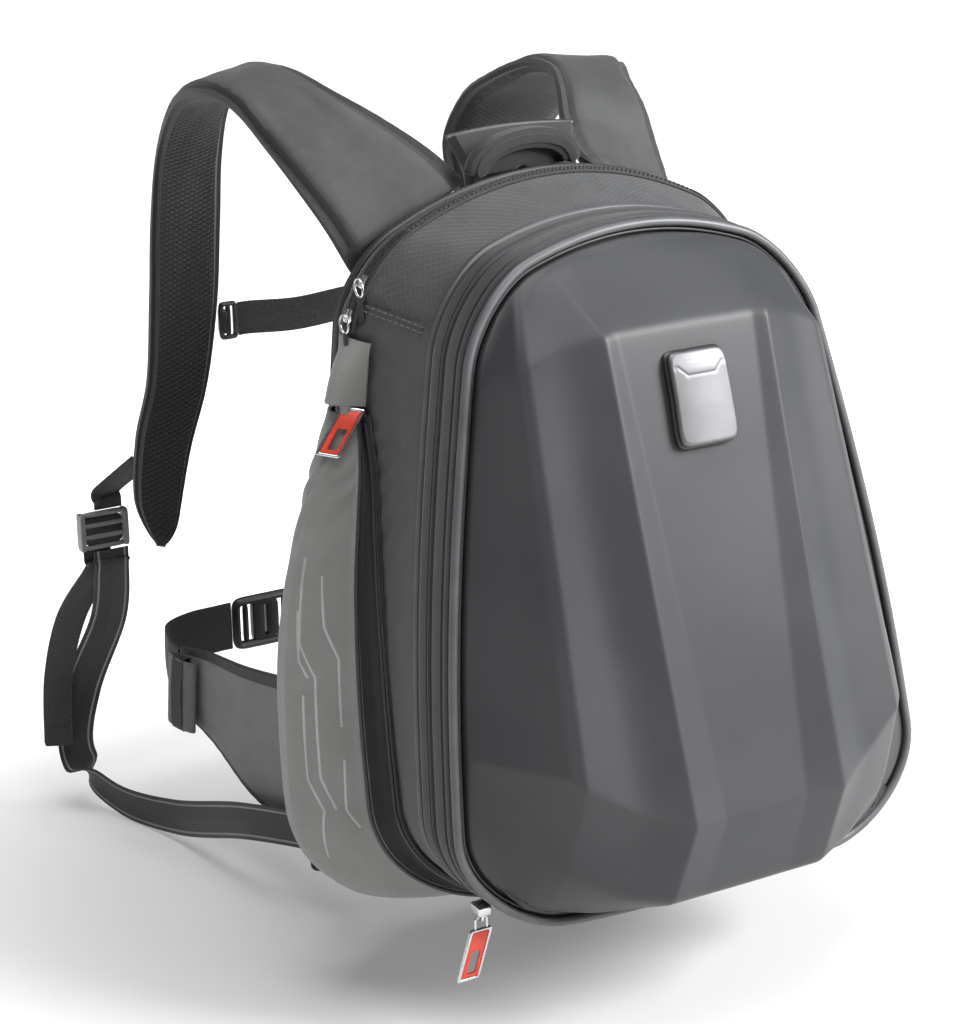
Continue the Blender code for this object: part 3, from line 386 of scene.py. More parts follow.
# Mesh of quads over a grid of points, with metres as its UVs
def gridPiece(name, grid, finishNames, slotName, replaced=(), closedRows=False, closedColumns=False,
              caps=False, thickness=0.0, body="pack", smoothAngle=40, faceFinish=None, uv=None):
    grid = np.asarray(grid, float)
    rows, columns = grid.shape[:2]
    points = (grid - originShift).reshape(-1, 3)
    faces, picks = [], []
    for i in range(rows if closedRows else rows - 1):
        j = (i + 1) % rows
        for k in range(columns if closedColumns else columns - 1):
            m = (k + 1) % columns
            faces.append((i * columns + k, i * columns + m, j * columns + m, j * columns + k))
            picks.append((i, k))
    if caps:
        faces.append(tuple(range(columns)))
        faces.append(tuple((rows - 1) * columns + k for k in range(columns - 1, -1, -1)))
        picks += [(0, 0), (rows - 1, 0)]
    mesh = bpy.data.meshes.new(name)
    mesh.from_pydata(points.tolist(), [], faces)
    if uv is None:
        acrossSteps = np.linalg.norm(np.diff(grid, axis=1), axis=2)
        alongSteps = np.linalg.norm(np.diff(grid, axis=0), axis=2)
        across = np.concatenate([np.zeros((rows, 1)), np.cumsum(acrossSteps, 1)], 1)
        across -= across[:, columns // 2: columns // 2 + 1] - across[:, columns // 2: columns // 2 + 1].mean()
        along = np.concatenate([np.zeros((1, columns)), np.cumsum(alongSteps, 0)], 0)
        along = np.repeat(along.mean(1, keepdims=True), columns, 1) * 0.5 + along * 0.5
    else:
        across, along = uv
    flat = np.stack([across.reshape(-1), along.reshape(-1)], 1)
    layer = mesh.uv_layers.new(name="UVMap")
    corners = np.empty(len(mesh.loops), int)
    mesh.loops.foreach_get("vertex_index", corners)
    values = flat[corners]
    wide = flat[:, 0].reshape(rows, columns)
    if closedColumns:      # the last quad of a closed ring carries on past the seam
        starts = np.cumsum([0] + [len(face) for face in faces])[:-1]
        step = np.linalg.norm(grid[:, -1] - grid[:, 0], axis=1)
        for number, (i, k) in enumerate(picks):
            if k == columns - 1 and len(faces[number]) == 4:
                j = (i + 1) % rows
                values[starts[number] + 1, 0] = wide[i, -1] + step[i]
                values[starts[number] + 2, 0] = wide[j, -1] + step[j]
    layer.data.foreach_set("uv", values.reshape(-1))
    if caps or (closedRows and closedColumns):
        work = bmesh.new()
        work.from_mesh(mesh)
        bmesh.ops.recalc_face_normals(work, faces=work.faces)
        work.to_mesh(mesh)
        work.free()
    piece = bpy.data.objects.new(name, mesh)
    bpy.context.scene.collection.objects.link(piece)
    if faceFinish is not None:
        mesh.polygons.foreach_set("material_index", [int(faceFinish(i, k)) for i, k in picks])
    if thickness:
        wall = piece.modifiers.new("wall", "SOLIDIFY")
        wall.thickness, wall.offset = thickness, -1.0
    return settle(piece, finishNames, replaced, body, smoothAngle)


# Along, side and out directions at each point of a path. Facing points roughly out
def frames(path, facing, closed=False):
    path = np.asarray(path, float)
    if closed:
        along = unit(np.roll(path, -1, 0) - np.roll(path, 1, 0))
    else:
        along = unit(np.gradient(path, axis=0))
    facing = np.broadcast_to(np.asarray(facing, float), path.shape)
    side = unit(np.cross(along, facing))
    return along, side, np.cross(side, along)


def tubeGrid(path, radius, facing=(0, 0, 1), sides=8, flatness=1.0, closed=False):
    along, side, out = frames(path, facing, closed)
    turns = np.linspace(0, 2 * pi, sides, endpoint=False)
    radii = np.broadcast_to(np.asarray(radius, float), (len(path),))
    ring = (np.cos(turns)[None, :, None] * side[:, None]
            + flatness * np.sin(turns)[None, :, None] * out[:, None])
    return np.asarray(path, float)[:, None] + ring * radii[:, None, None]


def tube(name, path, radius, finish, slotName, facing=(0, 0, 1), sides=8, flatness=1.0, closed=False,
         **rest):
    return gridPiece(name, tubeGrid(path, radius, facing, sides, flatness, closed), finish, slotName,
                     closedRows=closed, closedColumns=True, caps=not closed, smoothAngle=60, **rest)


# Many small closed grids in one mesh: each is (grid, closedRows)
def joined(name, parts, finish, replaced=(), body="pack", smoothAngle=50):
    points, faces, start = [], [], 0
    for grid, closedRows in parts:
        grid = np.asarray(grid, float)
        rows, columns = grid.shape[:2]
        points.append((grid - originShift).reshape(-1, 3))
        for i in range(rows if closedRows else rows - 1):
            j = (i + 1) % rows
            for k in range(columns):
                m = (k + 1) % columns
                faces.append(tuple(start + index for index in (i * columns + k, i * columns + m,
                                                               j * columns + m, j * columns + k)))
        if not closedRows:
            faces.append(tuple(start + k for k in range(columns)))
            faces.append(tuple(start + (rows - 1) * columns + k for k in range(columns - 1, -1, -1)))
        start += rows * columns
    mesh = bpy.data.meshes.new(name)
    mesh.from_pydata(np.concatenate(points).tolist(), [], faces)
    work = bmesh.new()
    work.from_mesh(mesh)
    bmesh.ops.recalc_face_normals(work, faces=work.faces)
    work.to_mesh(mesh)
    work.free()
    flat = mesh.uv_layers.new(name="UVMap")
    for corner, loop in zip(flat.data, mesh.loops):
        spot = mesh.vertices[loop.vertex_index].co
        corner.uv = (spot.x + spot.y * 0.5, spot.z)
    piece = bpy.data.objects.new(name, mesh)
    bpy.context.scene.collection.objects.link(piece)
    return settle(piece, finish, replaced, body, smoothAngle)


# Short dashes of thread along a path
def stitchParts(path, facing, length=0.0032, gap=0.0022, radius=0.00035):
    path = np.asarray(path, float)
    steps = np.linalg.norm(np.diff(path, axis=0), axis=1)
    reach = np.concatenate([[0], np.cumsum(steps)])
    facing = np.broadcast_to(np.asarray(facing, float), path.shape)
    parts, spot = [], gap
    while spot + length < reach[-1]:
        places = np.linspace(spot, spot + length, 4)
        dash = np.stack([np.interp(places, reach, path[:, axis]) for axis in range(3)], 1)
        turned = np.stack([np.interp(places, reach, facing[:, axis]) for axis in range(3)], 1)
        dash += turned * (np.array((-0.4, 0.9, 0.9, -0.4)) * radius)[:, None]
        parts.append((tubeGrid(dash, radius, turned, 6), False))
        spot += length + gap
    return parts


# Outlines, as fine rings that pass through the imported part's own points

ringFine = 6                    # fine points for each of the ring's 44 places
ringPlaces = 44
rimSizes = {"bottom": 0.368, "top": 0.252, "height": 0.436, "bottomRadius": 0.071, "topRadius": 0.051,
            "rise": 0.012, "crown": 0.034, "bow": 0.0125}
backSizes = {"bottom": 0.330, "top": 0.309, "height": 0.4695, "bottomRadius": 0.060, "topRadius": 0.040,
             "rise": 0.010, "crown": 0.052, "bow": 0.010}
rimLean = 0.19
backDrop = 0.018
backSeamY = 0.190
panelFaceY = 0.2003
gusset = {"depth": 0.038, "piping": 0.0025, "gap": 0.0003}


def cornerArc(before, corner, after, radius, steps):
    toBefore, toAfter = (before - corner).normalized(), (after - corner).normalized()
    half = toBefore.angle(toAfter) / 2
    centre = corner + (toBefore + toAfter).normalized() * radius / sin(half)
    start = corner + toBefore * radius * cos(half) / sin(half) - centre
    end = corner + toAfter * radius * cos(half) / sin(half) - centre
    return [centre + start.slerp(end, step / steps).normalized() * radius for step in range(steps + 1)]


def fineShares(shares):
    return [a + (b - a) * step / ringFine for a, b in zip(shares, shares[1:]) for step in range(ringFine)]


# Closed outline on the x z plane, bottom middle first, up the right side
def fineRing(sizes):
    halfBottom, halfTop, height = sizes["bottom"] / 2, sizes["top"] / 2, sizes["height"]
    low, high = Vector((halfBottom, 0, 0)), Vector((halfTop, 0, height))
    base, apex = Vector((0, 0, 0)), Vector((0, 0, height))
    lowerArc = cornerArc(base, low, high, sizes["bottomRadius"], 5 * ringFine)
    upperArc = cornerArc(low, high, apex, sizes["topRadius"], 5 * ringFine)
    points = [base.lerp(lowerArc[0], share) for share in fineShares((0, 0.35, 0.7, 1))]
    points += lowerArc[:-1]
    points += [lowerArc[-1].lerp(upperArc[0], share)
               for share in fineShares((0, 0.17, 0.34, 0.5, 0.66, 0.83, 1))]
    points += upperArc[:-1]
    points += [upperArc[-1].lerp(apex, share) for share in fineShares((0, 0.35, 0.7, 1))] + [apex.copy()]
    for point in points:
        up = point.z / height
        point.z += sizes["rise"] * (point.x / halfBottom) ** 2 * (1 - up)
        point.z -= sizes["crown"] * (point.x / halfTop) ** 2 * up
        point.x += sizes["bow"] * sin(pi * min(max(up, 0), 1)) * min(point.x / halfTop, 1)
    right = np.array([tuple(point) for point in points])
    left = right[-2:0:-1] * (-1, 1, 1)
    return np.concatenate([right, left])


def ringNormals(ring):
    along = np.roll(ring, -1, 0) - np.roll(ring, 1, 0)
    return unit(np.stack([along[:, 2], np.zeros(len(ring)), -along[:, 0]], 1))


def offsetRing(ring, out):
    return ring + ringNormals(ring) * out


def leanRing(ring, behind):
    return np.stack([ring[:, 0], rimLean * ring[:, 2] + behind, ring[:, 2]], 1)


rimRing = fineRing(rimSizes)
backRing = fineRing(backSizes) - (0, 0, backDrop)
gussetBack = gusset["depth"] + 2 * gusset["gap"] + 2 * gusset["piping"]
wallFront = leanRing(offsetRing(rimRing, -0.001), gussetBack)
wallBack = backRing * (1, 0, 1) + (0, backSeamY - gusset["piping"] - 0.0012, 0)


def ringAt(ring, places):
    places = np.asarray(places, float) * ringFine
    first = np.floor(places).astype(int)
    t = (places - first)[..., None]
    return ring[first % len(ring)] * (1 - t) + ring[(first + 1) % len(ring)] * t


# Points and outward directions on the body wall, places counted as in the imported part's rings
def wallPoint(places, shares):
    places, shares = np.broadcast_arrays(np.asarray(places, float), np.asarray(shares, float))
    front, rear = ringAt(wallFront, places), ringAt(wallBack, places)
    step = 0.2
    along = (ringAt(wallFront, places + step) - ringAt(wallFront, places - step)) * (1 - shares[..., None])
    along = along + (ringAt(wallBack, places + step) - ringAt(wallBack, places - step)) * shares[..., None]
    return front + (rear - front) * shares[..., None], -unit(np.cross(along, rear - front))


# Moulded shell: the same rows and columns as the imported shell, finer and with softer creases

shellForm = {
    "bulge": 0.094, "inset": 0.010, "edge": 0.006, "wall": 0.0024,
    "rows": (
        ((0, .008, .09), (.19, .009, .09), (.326, .012, .09), (.49, .020, .09),
         (.68, .044, .09), (.745, .060, .09), (.812, .086, .09)),
        ((0, .055, .575), (.180, .056, .58), (.315, .060, .617), (.478, .078, .53),
         (.668, .126, .44), (.725, .145, .37), (.855, .168, .12)),
        ((0, .197, .930), (.167, .198, .933), (.308, .204, .998), (.462, .225, .84),
         (.649, .274, .768), (.690, .284, .697), (.882, .287, .149)),
        ((0, .535, .731), (.222, .535, .733), (.3185, .5375, .779), (.462, .540, .630),
         (.618, .555, .585), (.656, .555, .525), (.786, .551, .135)),
        ((0, .873, .532), (.277, .8725, .532), (.329, .871, .560), (.462, .855, .440),
         (.587, .836, .395), (.622, .826, .345), (.676, .815, .120)),
        ((0, .960, .160), (.315, .953, .155), (.390, .946, .145), (.457, .930, .150),
         (.525, .902, .170), (.560, .888, .170), (.606, .866, .085)),
    ),
    "bottomShares": (0, .052, .089, .134, .189, .213, .232, .254),
    "topShares": (1, .923, .900, .876, .855, .844, .830, .812),
    "sideShares": (.273, .312, .386, .563, .735, .774),
    "columnRadii": (.002, .002, .009, .002, .0025, .0055),
    "rowRadii": (.0035, .0085, .003, .010, .005, .005),
}


def alongHalf(half, share):
    steps = np.linalg.norm(np.diff(half, axis=0), axis=1)
    reach = np.concatenate([[0], np.cumsum(steps)])
    return np.array([np.interp(share * reach[-1], reach, half[:, axis]) for axis in range(3)])


# Polyline with rounded corners, and two points on each long straight stretch
def softLine(points, radii, steps=3):
    points = [np.asarray(point, float) for point in points]
    line = [points[0]]
    for index, reach in enumerate(radii, start=1):
        corner, before, after = points[index], points[index - 1], points[index + 1]
        first = corner + (before - corner) * min(reach / max(np.linalg.norm(before - corner), 1e-6), 0.45)
        last = corner + (after - corner) * min(reach / max(np.linalg.norm(after - corner), 1e-6), 0.45)
        line += [line[-1] * (1 - share) + first * share
                 for share in ((0.5,) if index == 1 else (0.34, 0.67))]
        for step in range(steps + 1):
            t = step / steps
            line.append(first * (1 - t) ** 2 + corner * 2 * t * (1 - t) + last * t ** 2)
    line.append(line[-1] * 0.5 + points[-1] * 0.5)
    line.append(points[-1])
    return line


def makeShell():
    form = shellForm
    ring = offsetRing(rimRing, -form["inset"])
    half = ring[:len(ring) // 2 + 1]
    backward = unit(np.array((0, 1, -rimLean)))

    def edgePoint(share):
        spot = alongHalf(half, share)
        return np.array((spot[0], rimLean * spot[2], spot[2])) - backward * form["edge"]

    keys = [[edgePoint(share) for share in form["bottomShares"]]]
    for row, share in zip(form["rows"], form["sideShares"]):
        points = [np.array((x * rimSizes["bottom"] / 2,
                            rimLean * z * rimSizes["height"] - depth * form["bulge"],
                            z * rimSizes["height"])) for x, z, depth in row]
        keys.append(points + [edgePoint(share)])
    keys.append([edgePoint(share) for share in form["topShares"]])
    columns = [softLine(column, form["rowRadii"]) for column in zip(*keys)]
    grid = np.array([softLine(row, form["columnRadii"]) for row in zip(*columns)])
    # Outer lines follow the true outline between their keys
    reach = np.concatenate([[0], np.cumsum(np.linalg.norm(np.diff(half, axis=0), axis=1))])
    fine = np.stack([np.interp(np.linspace(0, reach[-1], 4000), reach, half[:, axis])
                     for axis in range(3)], 1)
    for line in (grid[0], grid[-1], grid[:, -1]):
        for index, spot in enumerate(line):
            nearest = fine[np.argmin(np.linalg.norm(fine[:, (0, 2)] - spot[[0, 2]], axis=1))]
            line[index] = np.array((nearest[0], rimLean * nearest[2], nearest[2])) - backward * form["edge"]
    left = grid[:, :0:-1] * (-1, 1, 1)
    grid = np.concatenate([left, grid], 1)
    # Rolled lip and the straight wall behind it, added all round
    boundary = lambda g: np.concatenate([g[0, :-1], g[:-1, -1], g[-1, :0:-1], g[:0:-1, 0]])
    rows, columnCount = grid.shape[:2]
    outer = boundary(grid)
    innerRing = np.concatenate([grid[1, :-1], grid[:-1, -2], grid[-2, :0:-1], grid[:0:-1, 1]])
    inward = unit(innerRing - outer)
    mesh = bpy.data.meshes.new("shell")
    points = list(grid.reshape(-1, 3))
    index = np.arange(rows * columnCount).reshape(rows, columnCount)
    faces = [(index[i, k], index[i, k + 1], index[i + 1, k + 1], index[i + 1, k])
             for i in range(rows - 1) for k in range(columnCount - 1)]
    loop = list(boundary(index[..., None])[:, 0])
    for number, spot in enumerate(loop):       # the outline itself becomes the inner side of the lip
        points[spot] = outer[number] + inward[number] * 0.0022
    for inset, behind in ((0.0011, 0.0003), (0.0003, 0.0011), (0.0, 0.0024), (0.0, form["edge"] - 0.0006)):
        start = len(points)
        points += list(outer + inward * inset + backward * behind)
        fresh = list(range(start, start + len(loop)))
        faces += [(loop[(n + 1) % len(loop)], loop[n], fresh[n], fresh[(n + 1) % len(loop)])
                  for n in range(len(loop))]
        loop = fresh
    mesh.from_pydata((np.array(points) - originShift).tolist(), [],
                     [tuple(int(v) for v in f) for f in faces])
    work = bmesh.new()
    work.from_mesh(mesh)
    bmesh.ops.recalc_face_normals(work, faces=work.faces)
    middle = min(work.faces, key=lambda face: (face.calc_center_median() - Vector((0, -0.27, -0.1))).length)
    if middle.normal.y > 0:
        bmesh.ops.reverse_faces(work, faces=work.faces)
    work.to_mesh(mesh)
    work.free()
    mesh.uv_layers.new(name="UVMap")
    piece = bpy.data.objects.new("shell", mesh)
    bpy.context.scene.collection.objects.link(piece)
    soft = piece.modifiers.new("softened", "SUBSURF")
    soft.levels = soft.render_levels = 2
    wall = piece.modifiers.new("wall", "SOLIDIFY")
    wall.thickness, wall.offset = form["wall"], -1.0
    settle(piece, "shell", "hard_shell", smoothAngle=80)
    print("shell made")


makeShell()


# Rim: welt, layered gusset and piping. Sections are (outward, back) from the outline's plane.

def ringPiece(name, ring, section, finish, slotName, replaced=(), lean=True, y=0.0, thin=2, **rest):
    rows = []
    for out, behind in section:
        moved = offsetRing(ring, out)[::thin]
        rows.append(leanRing(moved, behind) if lean else moved * (1, 0, 1) + (0, y + behind, 0))
    grid = np.array(rows).swapaxes(0, 1)
    return gridPiece(name, grid, finish, slotName, replaced, closedRows=True, closedColumns=True,
                     smoothAngle=55, **rest)


def roundSection(out, behind, radius, sides=10, flat=1.0):
    turns = np.linspace(0, 2 * pi, sides, endpoint=False)
    return [(out + radius * cos(t), behind + radius * flat * sin(t)) for t in turns]


def makeRim():
    gap = gusset["gap"]
    ringPiece("rimWelt", rimRing, roundSection(-0.0030, -0.0033, 0.0030), "piping", "piping_rubber",
              "rim_welt")
    # dark ring that paints the shadow in the gap between the welt and the shell's edge
    ringPiece("rimWeltStitchBed", rimRing, roundSection(-0.0078, -0.0016, 0.0013, 8), "darkPiping",
              "piping_rubber")
    wall = [(-0.0012, 0.0), (-0.0004, 0.0008), (0.0, 0.0030), (-0.0002, 0.0052), (-0.0016, 0.0058),
            (-0.0016, 0.0070), (0.0, 0.0076), (0.0004, 0.0120), (0.0004, 0.0160), (0.0, 0.0185),
            (-0.0016, 0.0192), (-0.0016, 0.0204), (0.0004, 0.0210), (0.0010, 0.0222), (0.0004, 0.0234),
            (-0.0016, 0.0240), (-0.0016, 0.0250), (0.0, 0.0257), (0.0003, 0.0290), (0.0003, 0.0330),
            (0.0, 0.0352), (-0.0014, 0.0360), (-0.0014, 0.0372), (-0.0006, 0.0379)]
    inner = [(-0.0035, 0.0380), (-0.0035, 0.0035), (-0.0160, 0.0035), (-0.0160, 0.0), (-0.0095, 0.0)]
    ringPiece("gussetBand", rimRing, wall + inner, "rib", "dark_fabric", "expansion_gusset")
    ringPiece("bodyPiping", rimRing, roundSection(-0.0015, gusset["depth"] + gap + 0.0025, 0.0025), "piping",
              "piping_rubber", "gusset_piping")
    ringPiece("backSeamPiping", backRing, roundSection(-0.0010, 0.0, 0.0025), "darkPiping", "piping_rubber",
              "back_seam_piping", lean=False, y=backSeamY)
    print("rim made")


makeRim()


# Fabric body between gusset and back seam

bodyForm = {"seamHeight": 0.378, "seamSlope": -0.13, "foldDepth": 0.0016, "fabric": 0.0022, "rows": 44}


# Height above the seam that parts the ripstop top from the smooth sides
def seamLine(points):
    return points[..., 2] - bodyForm["seamHeight"] + bodyForm["seamSlope"] * (points[..., 1] - 0.12)


def makeBody():
    places = np.arange(0, ringPlaces, 1 / ringFine)
    shares = np.linspace(0, 1, bodyForm["rows"])
    place, share = np.meshgrid(places, shares, indexing="ij")
    points, normals = wallPoint(place, share)
    above = seamLine(points)
    lift = np.where(above > 0, 0.0009, 0.0) * (np.sin(pi * share) ** 0.3)
    lift -= 0.0010 * np.exp(-(above / 0.0016) ** 2)
    height, side = points[..., 2], np.sign(points[..., 0] + 1e-9)
    folds = np.sin((height + points[..., 1] * 1.3) * 260 + 1.5 * np.sin(height * 40))
    where = np.exp(-((height - 0.29) / 0.06) ** 2) * np.clip(np.abs(points[..., 0]) / 0.13, 0, 1)
    lift += bodyForm["foldDepth"] * folds * where * (above < 0) * np.sin(pi * share)
    lift += 0.0010 * bumps(height * 30, points[..., 1] * 36 + side, 3) * np.sin(pi * share) * (above < 0)
    lift -= 0.0015 * np.sin(pi * share) * (above < 0)
    points = points + normals * lift[..., None]
    gridPiece("bodyWall", points, ("smoothCloth", "ripstop"), "body_fabric", "body_wall", closedRows=True,
              thickness=bodyForm["fabric"], faceFinish=lambda i, k: above[i, k] > 0)
    # Two rows of dashes just below the seam, on both sides
    fine = np.linspace(0.06, 0.93, 160)
    parts = []
    for drop in (0.0030, 0.0062):
        for sideways in (1, -1):
            line = []
            for value in fine:
                spots, _ = wallPoint(np.linspace(12.5, 17, 90) * sideways, np.full(90, value))
                over = seamLine(spots) + drop
                cross = np.where((over[:-1] < 0) & (over[1:] >= 0))[0]
                if len(cross):
                    n = cross[0]
                    t = over[n] / (over[n] - over[n + 1])
                    line.append(spots[n] * (1 - t) + spots[n + 1] * t)
            line = np.array(line)
            facing = np.stack([np.sign(line[:, 0]), np.full(len(line), -0.15), np.full(len(line), 0.35)], 1)
            parts += stitchParts(line + unit(facing) * 0.0004, unit(facing))
    joined("seamStitches", parts, "thread")
    print("body made")


makeBody()


# Back panel and its padding, base skid

def makeBack():
    ring = offsetRing(backRing, -0.001)
    front = backSeamY + gusset["piping"] + 0.0003
    middle = np.array((0, 0, backSizes["height"] / 2 - backDrop))
    rows = [ring * (1, 0, 1) + (0, front, 0), ring * (1, 0, 1) + (0, front + 0.0050, 0)]
    shrink = np.linspace(0.985, 0.02, 46)
    for share in shrink:
        spot = middle + (ring - middle) * share
        pad = np.minimum(1.0, (1 - share) / 0.10) ** 0.6
        x, z = spot[:, 0], spot[:, 2]
        channel = 0.0022 * np.exp(-(x / 0.006) ** 2) + 0.0014 * np.exp(-((np.abs(x) - 0.085) / 0.005) ** 2)
        for level in (0.13, 0.30):
            channel = channel + 0.0014 * np.exp(-((z - level) / 0.005) ** 2)
        depth = 0.0050 + 0.0024 * pad - channel * pad
        rows.append(np.stack([spot[:, 0], front + depth, spot[:, 2]], 1))
    rows = np.array(rows)
    panel = gridPiece("backPanel", rows, "mesh", "mesh_lining", "back_panel", closedColumns=True, caps=True,
                      uv=(rows[..., 0], rows[..., 2]))
    places = np.arange(-3, 3.01, 1 / ringFine)
    shares = np.linspace(0.15, 0.985, 26)
    place, share = np.meshgrid(places, shares, indexing="ij")
    points, normals = wallPoint(place, share)
    edge = np.minimum(np.minimum(place + 3, 3 - place) / 0.2, np.minimum(share - 0.15, 0.985 - share) / 0.03)
    points = points + normals * (0.0006 + 0.0030 * np.clip(edge, 0.3, 1))[..., None]
    gridPiece("baseSkid", points, "rib", "dark_fabric", "base_skid", thickness=0.0026)
    print("back made")


makeBack()


# Side pockets, with pressed lines, and the hood over each zip's end

pocketForm = {
    "bulge": 0.056, "fabric": 0.0020, "hem": 0.0028,
    "places": (3.15, 4, 5, 6, 7, 8, 9, 10, 11, 12, 12.5, 13.1),
    "heights": (.05, .20, .45, .70, .88, .98, 1.0, .97, .86, .64, .48, .22),
    "edges": (.12, .13, .14, .16, .18, .21, .26, .31, .37, .43, .48, .60),
    "across": (0, .05, .14, .28, .46, .64, .82, .94, .975),
    "outs": (0, 0, .42, .80, 1.0, .97, .72, .26, 0),
}


# Point and outward direction on the right pocket. Up and across run from 0 to 1
def pocketPoint(up, across):
    form = pocketForm
    steps = np.asarray(up) * (len(form["places"]) - 1)
    place = spline(form["places"], steps.reshape(-1)).reshape(steps.shape)
    height = np.clip(spline(form["heights"], steps.reshape(-1)).reshape(steps.shape), 0, 1)
    edge = spline(form["edges"], steps.reshape(-1)).reshape(steps.shape)
    wide = spline(form["across"], np.asarray(across).reshape(-1) * 8).reshape(steps.shape)
    out = np.clip(spline(form["outs"], np.asarray(across).reshape(-1) * 8).reshape(steps.shape), 0, 1)
    points, normals = wallPoint(place, edge + (1 - edge) * wide)
    return points + normals * (form["hem"] + form["bulge"] * height * out)[..., None], normals


def pocketNormals(points):
    return unit(np.cross(np.gradient(points, axis=1), np.gradient(points, axis=0)))


pressedLines = (            # generic straight channels, as (up, across) on the pocket
    ((.76, .44), (.66, .42), (.62, .35), (.50, .35), (.46, .31)),
    ((.74, .34), (.68, .32), (.64, .27), (.56, .27)),
    ((.60, .40), (.50, .40), (.46, .35), (.38, .40)),
    ((.70, .44), (.64, .42), (.62, .38)),
    ((.52, .27), (.46, .28), (.42, .25)),
)


def makePockets():
    rowCount, columnCount = 150, 110
    up, across = np.meshgrid(np.linspace(0, 1, rowCount), np.linspace(0, 1, columnCount), indexing="ij")
    points, _ = pocketPoint(up, across)
    normals = pocketNormals(points)
    if normals[70, 60, 0] < 0:
        normals = -normals
    lift = 0.0016 * bumps(up * 7, across * 5, 5) * np.sin(pi * across) * np.sin(pi * up) ** 0.5
    # Bound front edge, with a hollow behind it, then a pleat; the strip up to the bound edge is painted
    # near-black as the shadow in this recessed fold
    lift += 0.0018 * np.exp(-((across - 0.215) / 0.012) ** 2)
    lift -= 0.0030 * np.exp(-((across - 0.165) / 0.022) ** 2)
    lift -= 0.0016 * np.exp(-((across - 0.075) / 0.015) ** 2)
    folds = 0.0008 * np.sin((up + across * 0.35) * 95)
    lift += folds * np.exp(-((up - 0.86) / 0.09) ** 2) * (across > 0.23)
    points = points + normals * lift[..., None]
    for side, name in ((1, "r"), (-1, "l")):
        grid = points * (side, 1, 1)
        gridPiece("sidePocket_" + name, grid if side == 1 else grid[:, ::-1], ("pocket", "pocketDark"),
                  "pocket_fabric", "side_pocket_" + name, thickness=pocketForm["fabric"],
                  # faces before the bound edge take the painted fold shadow
                  faceFinish=(lambda i, k: across[i, k] < 0.20) if side == 1
                  else (lambda i, k: across[i, columnCount - 1 - k] < 0.21))
        trim = []
        for at, radius, spread in ((0.215, 0.0014, 0.0004), (0.105, 0.0016, 0.0006)):
            column = int(at * (columnCount - 1))
            path = points[2:-3, column] * (side, 1, 1)
            facing = normals[2:-3, column] * (side, 1, 1)
            trim.append((tubeGrid(path + facing * spread, radius, facing, 8), False))
        joined("pocketPiping_" + name, trim, "darkPiping")
        lines = []
        for route in pressedLines:
            keys = np.array(route)
            fine = np.stack([np.interp(np.linspace(0, len(keys) - 1, 60), np.arange(len(keys)),
                                       keys[:, axis])
                             for axis in (0, 1)], 1)
            rows = fine[:, 0] * (rowCount - 1)
            cols = fine[:, 1] * (columnCount - 1)
            low = np.floor(rows).astype(int), np.floor(cols).astype(int)
            t, s = (rows - low[0])[:, None], (cols - low[1])[:, None]
            spots = ((points[low] * (1 - s) + points[low[0], low[1] + 1] * s) * (1 - t)
                     + (points[low[0] + 1, low[1]] * (1 - s) + points[low[0] + 1, low[1] + 1] * s) * t)
            facing = normals[low]
            lines.append((tubeGrid(spots * (side, 1, 1), 0.0009, facing * (side, 1, 1), 6, 0.5), False))
        joined("pressedLines_" + name, lines, "lines")
    print("pockets made")


makePockets()


def makeHoods():
    form = {"places": (13.2, 13.45, 13.7, 13.95), "across": (.60, .69, .78, .87, .96), "seat": 0.0032,
            "height": 0.020, "arch": (0, .75, 1, .75, 0), "taper": (1, .95, .62, .06)}
    lengthCount, acrossCount = 34, 30
    place = spline(form["places"], np.linspace(0, 3, lengthCount))
    share = spline(form["across"], np.linspace(0, 4, acrossCount))
    arch = np.clip(spline(form["arch"], np.linspace(0, 4, acrossCount)), 0, 1)
    place, share = np.meshgrid(place, share, indexing="ij")
    points, normals = wallPoint(place, share)
    lengthwise = np.linspace(0, 1, lengthCount)[:, None]
    taper = spline(form["taper"], np.linspace(0, 3, lengthCount))[:, None]
    lift = form["seat"] + form["height"] * arch[None] * taper * (0.97 + 0.03 * np.cos(lengthwise * 9))
    lift = lift + 0.0006 * np.exp(-((lengthwise - 0.06) / 0.03) ** 2)
    points = points + normals * lift[..., None]
    for side, name in ((1, "r"), (-1, "l")):
        grid = points * (side, 1, 1)
        gridPiece("zipHood_" + name, grid if side == 1 else grid[:, ::-1], "pocket", "pocket_fabric",
                  "pocket_hood_" + name, thickness=0.0020)
    print("hoods made")


makeHoods()


# Main zip: tape with two coil rows of teeth, and two wire pulls

zipForm = {"start": 14.05, "end": 29.95, "middle": 0.875, "half": 0.075, "lift": 0.0022}


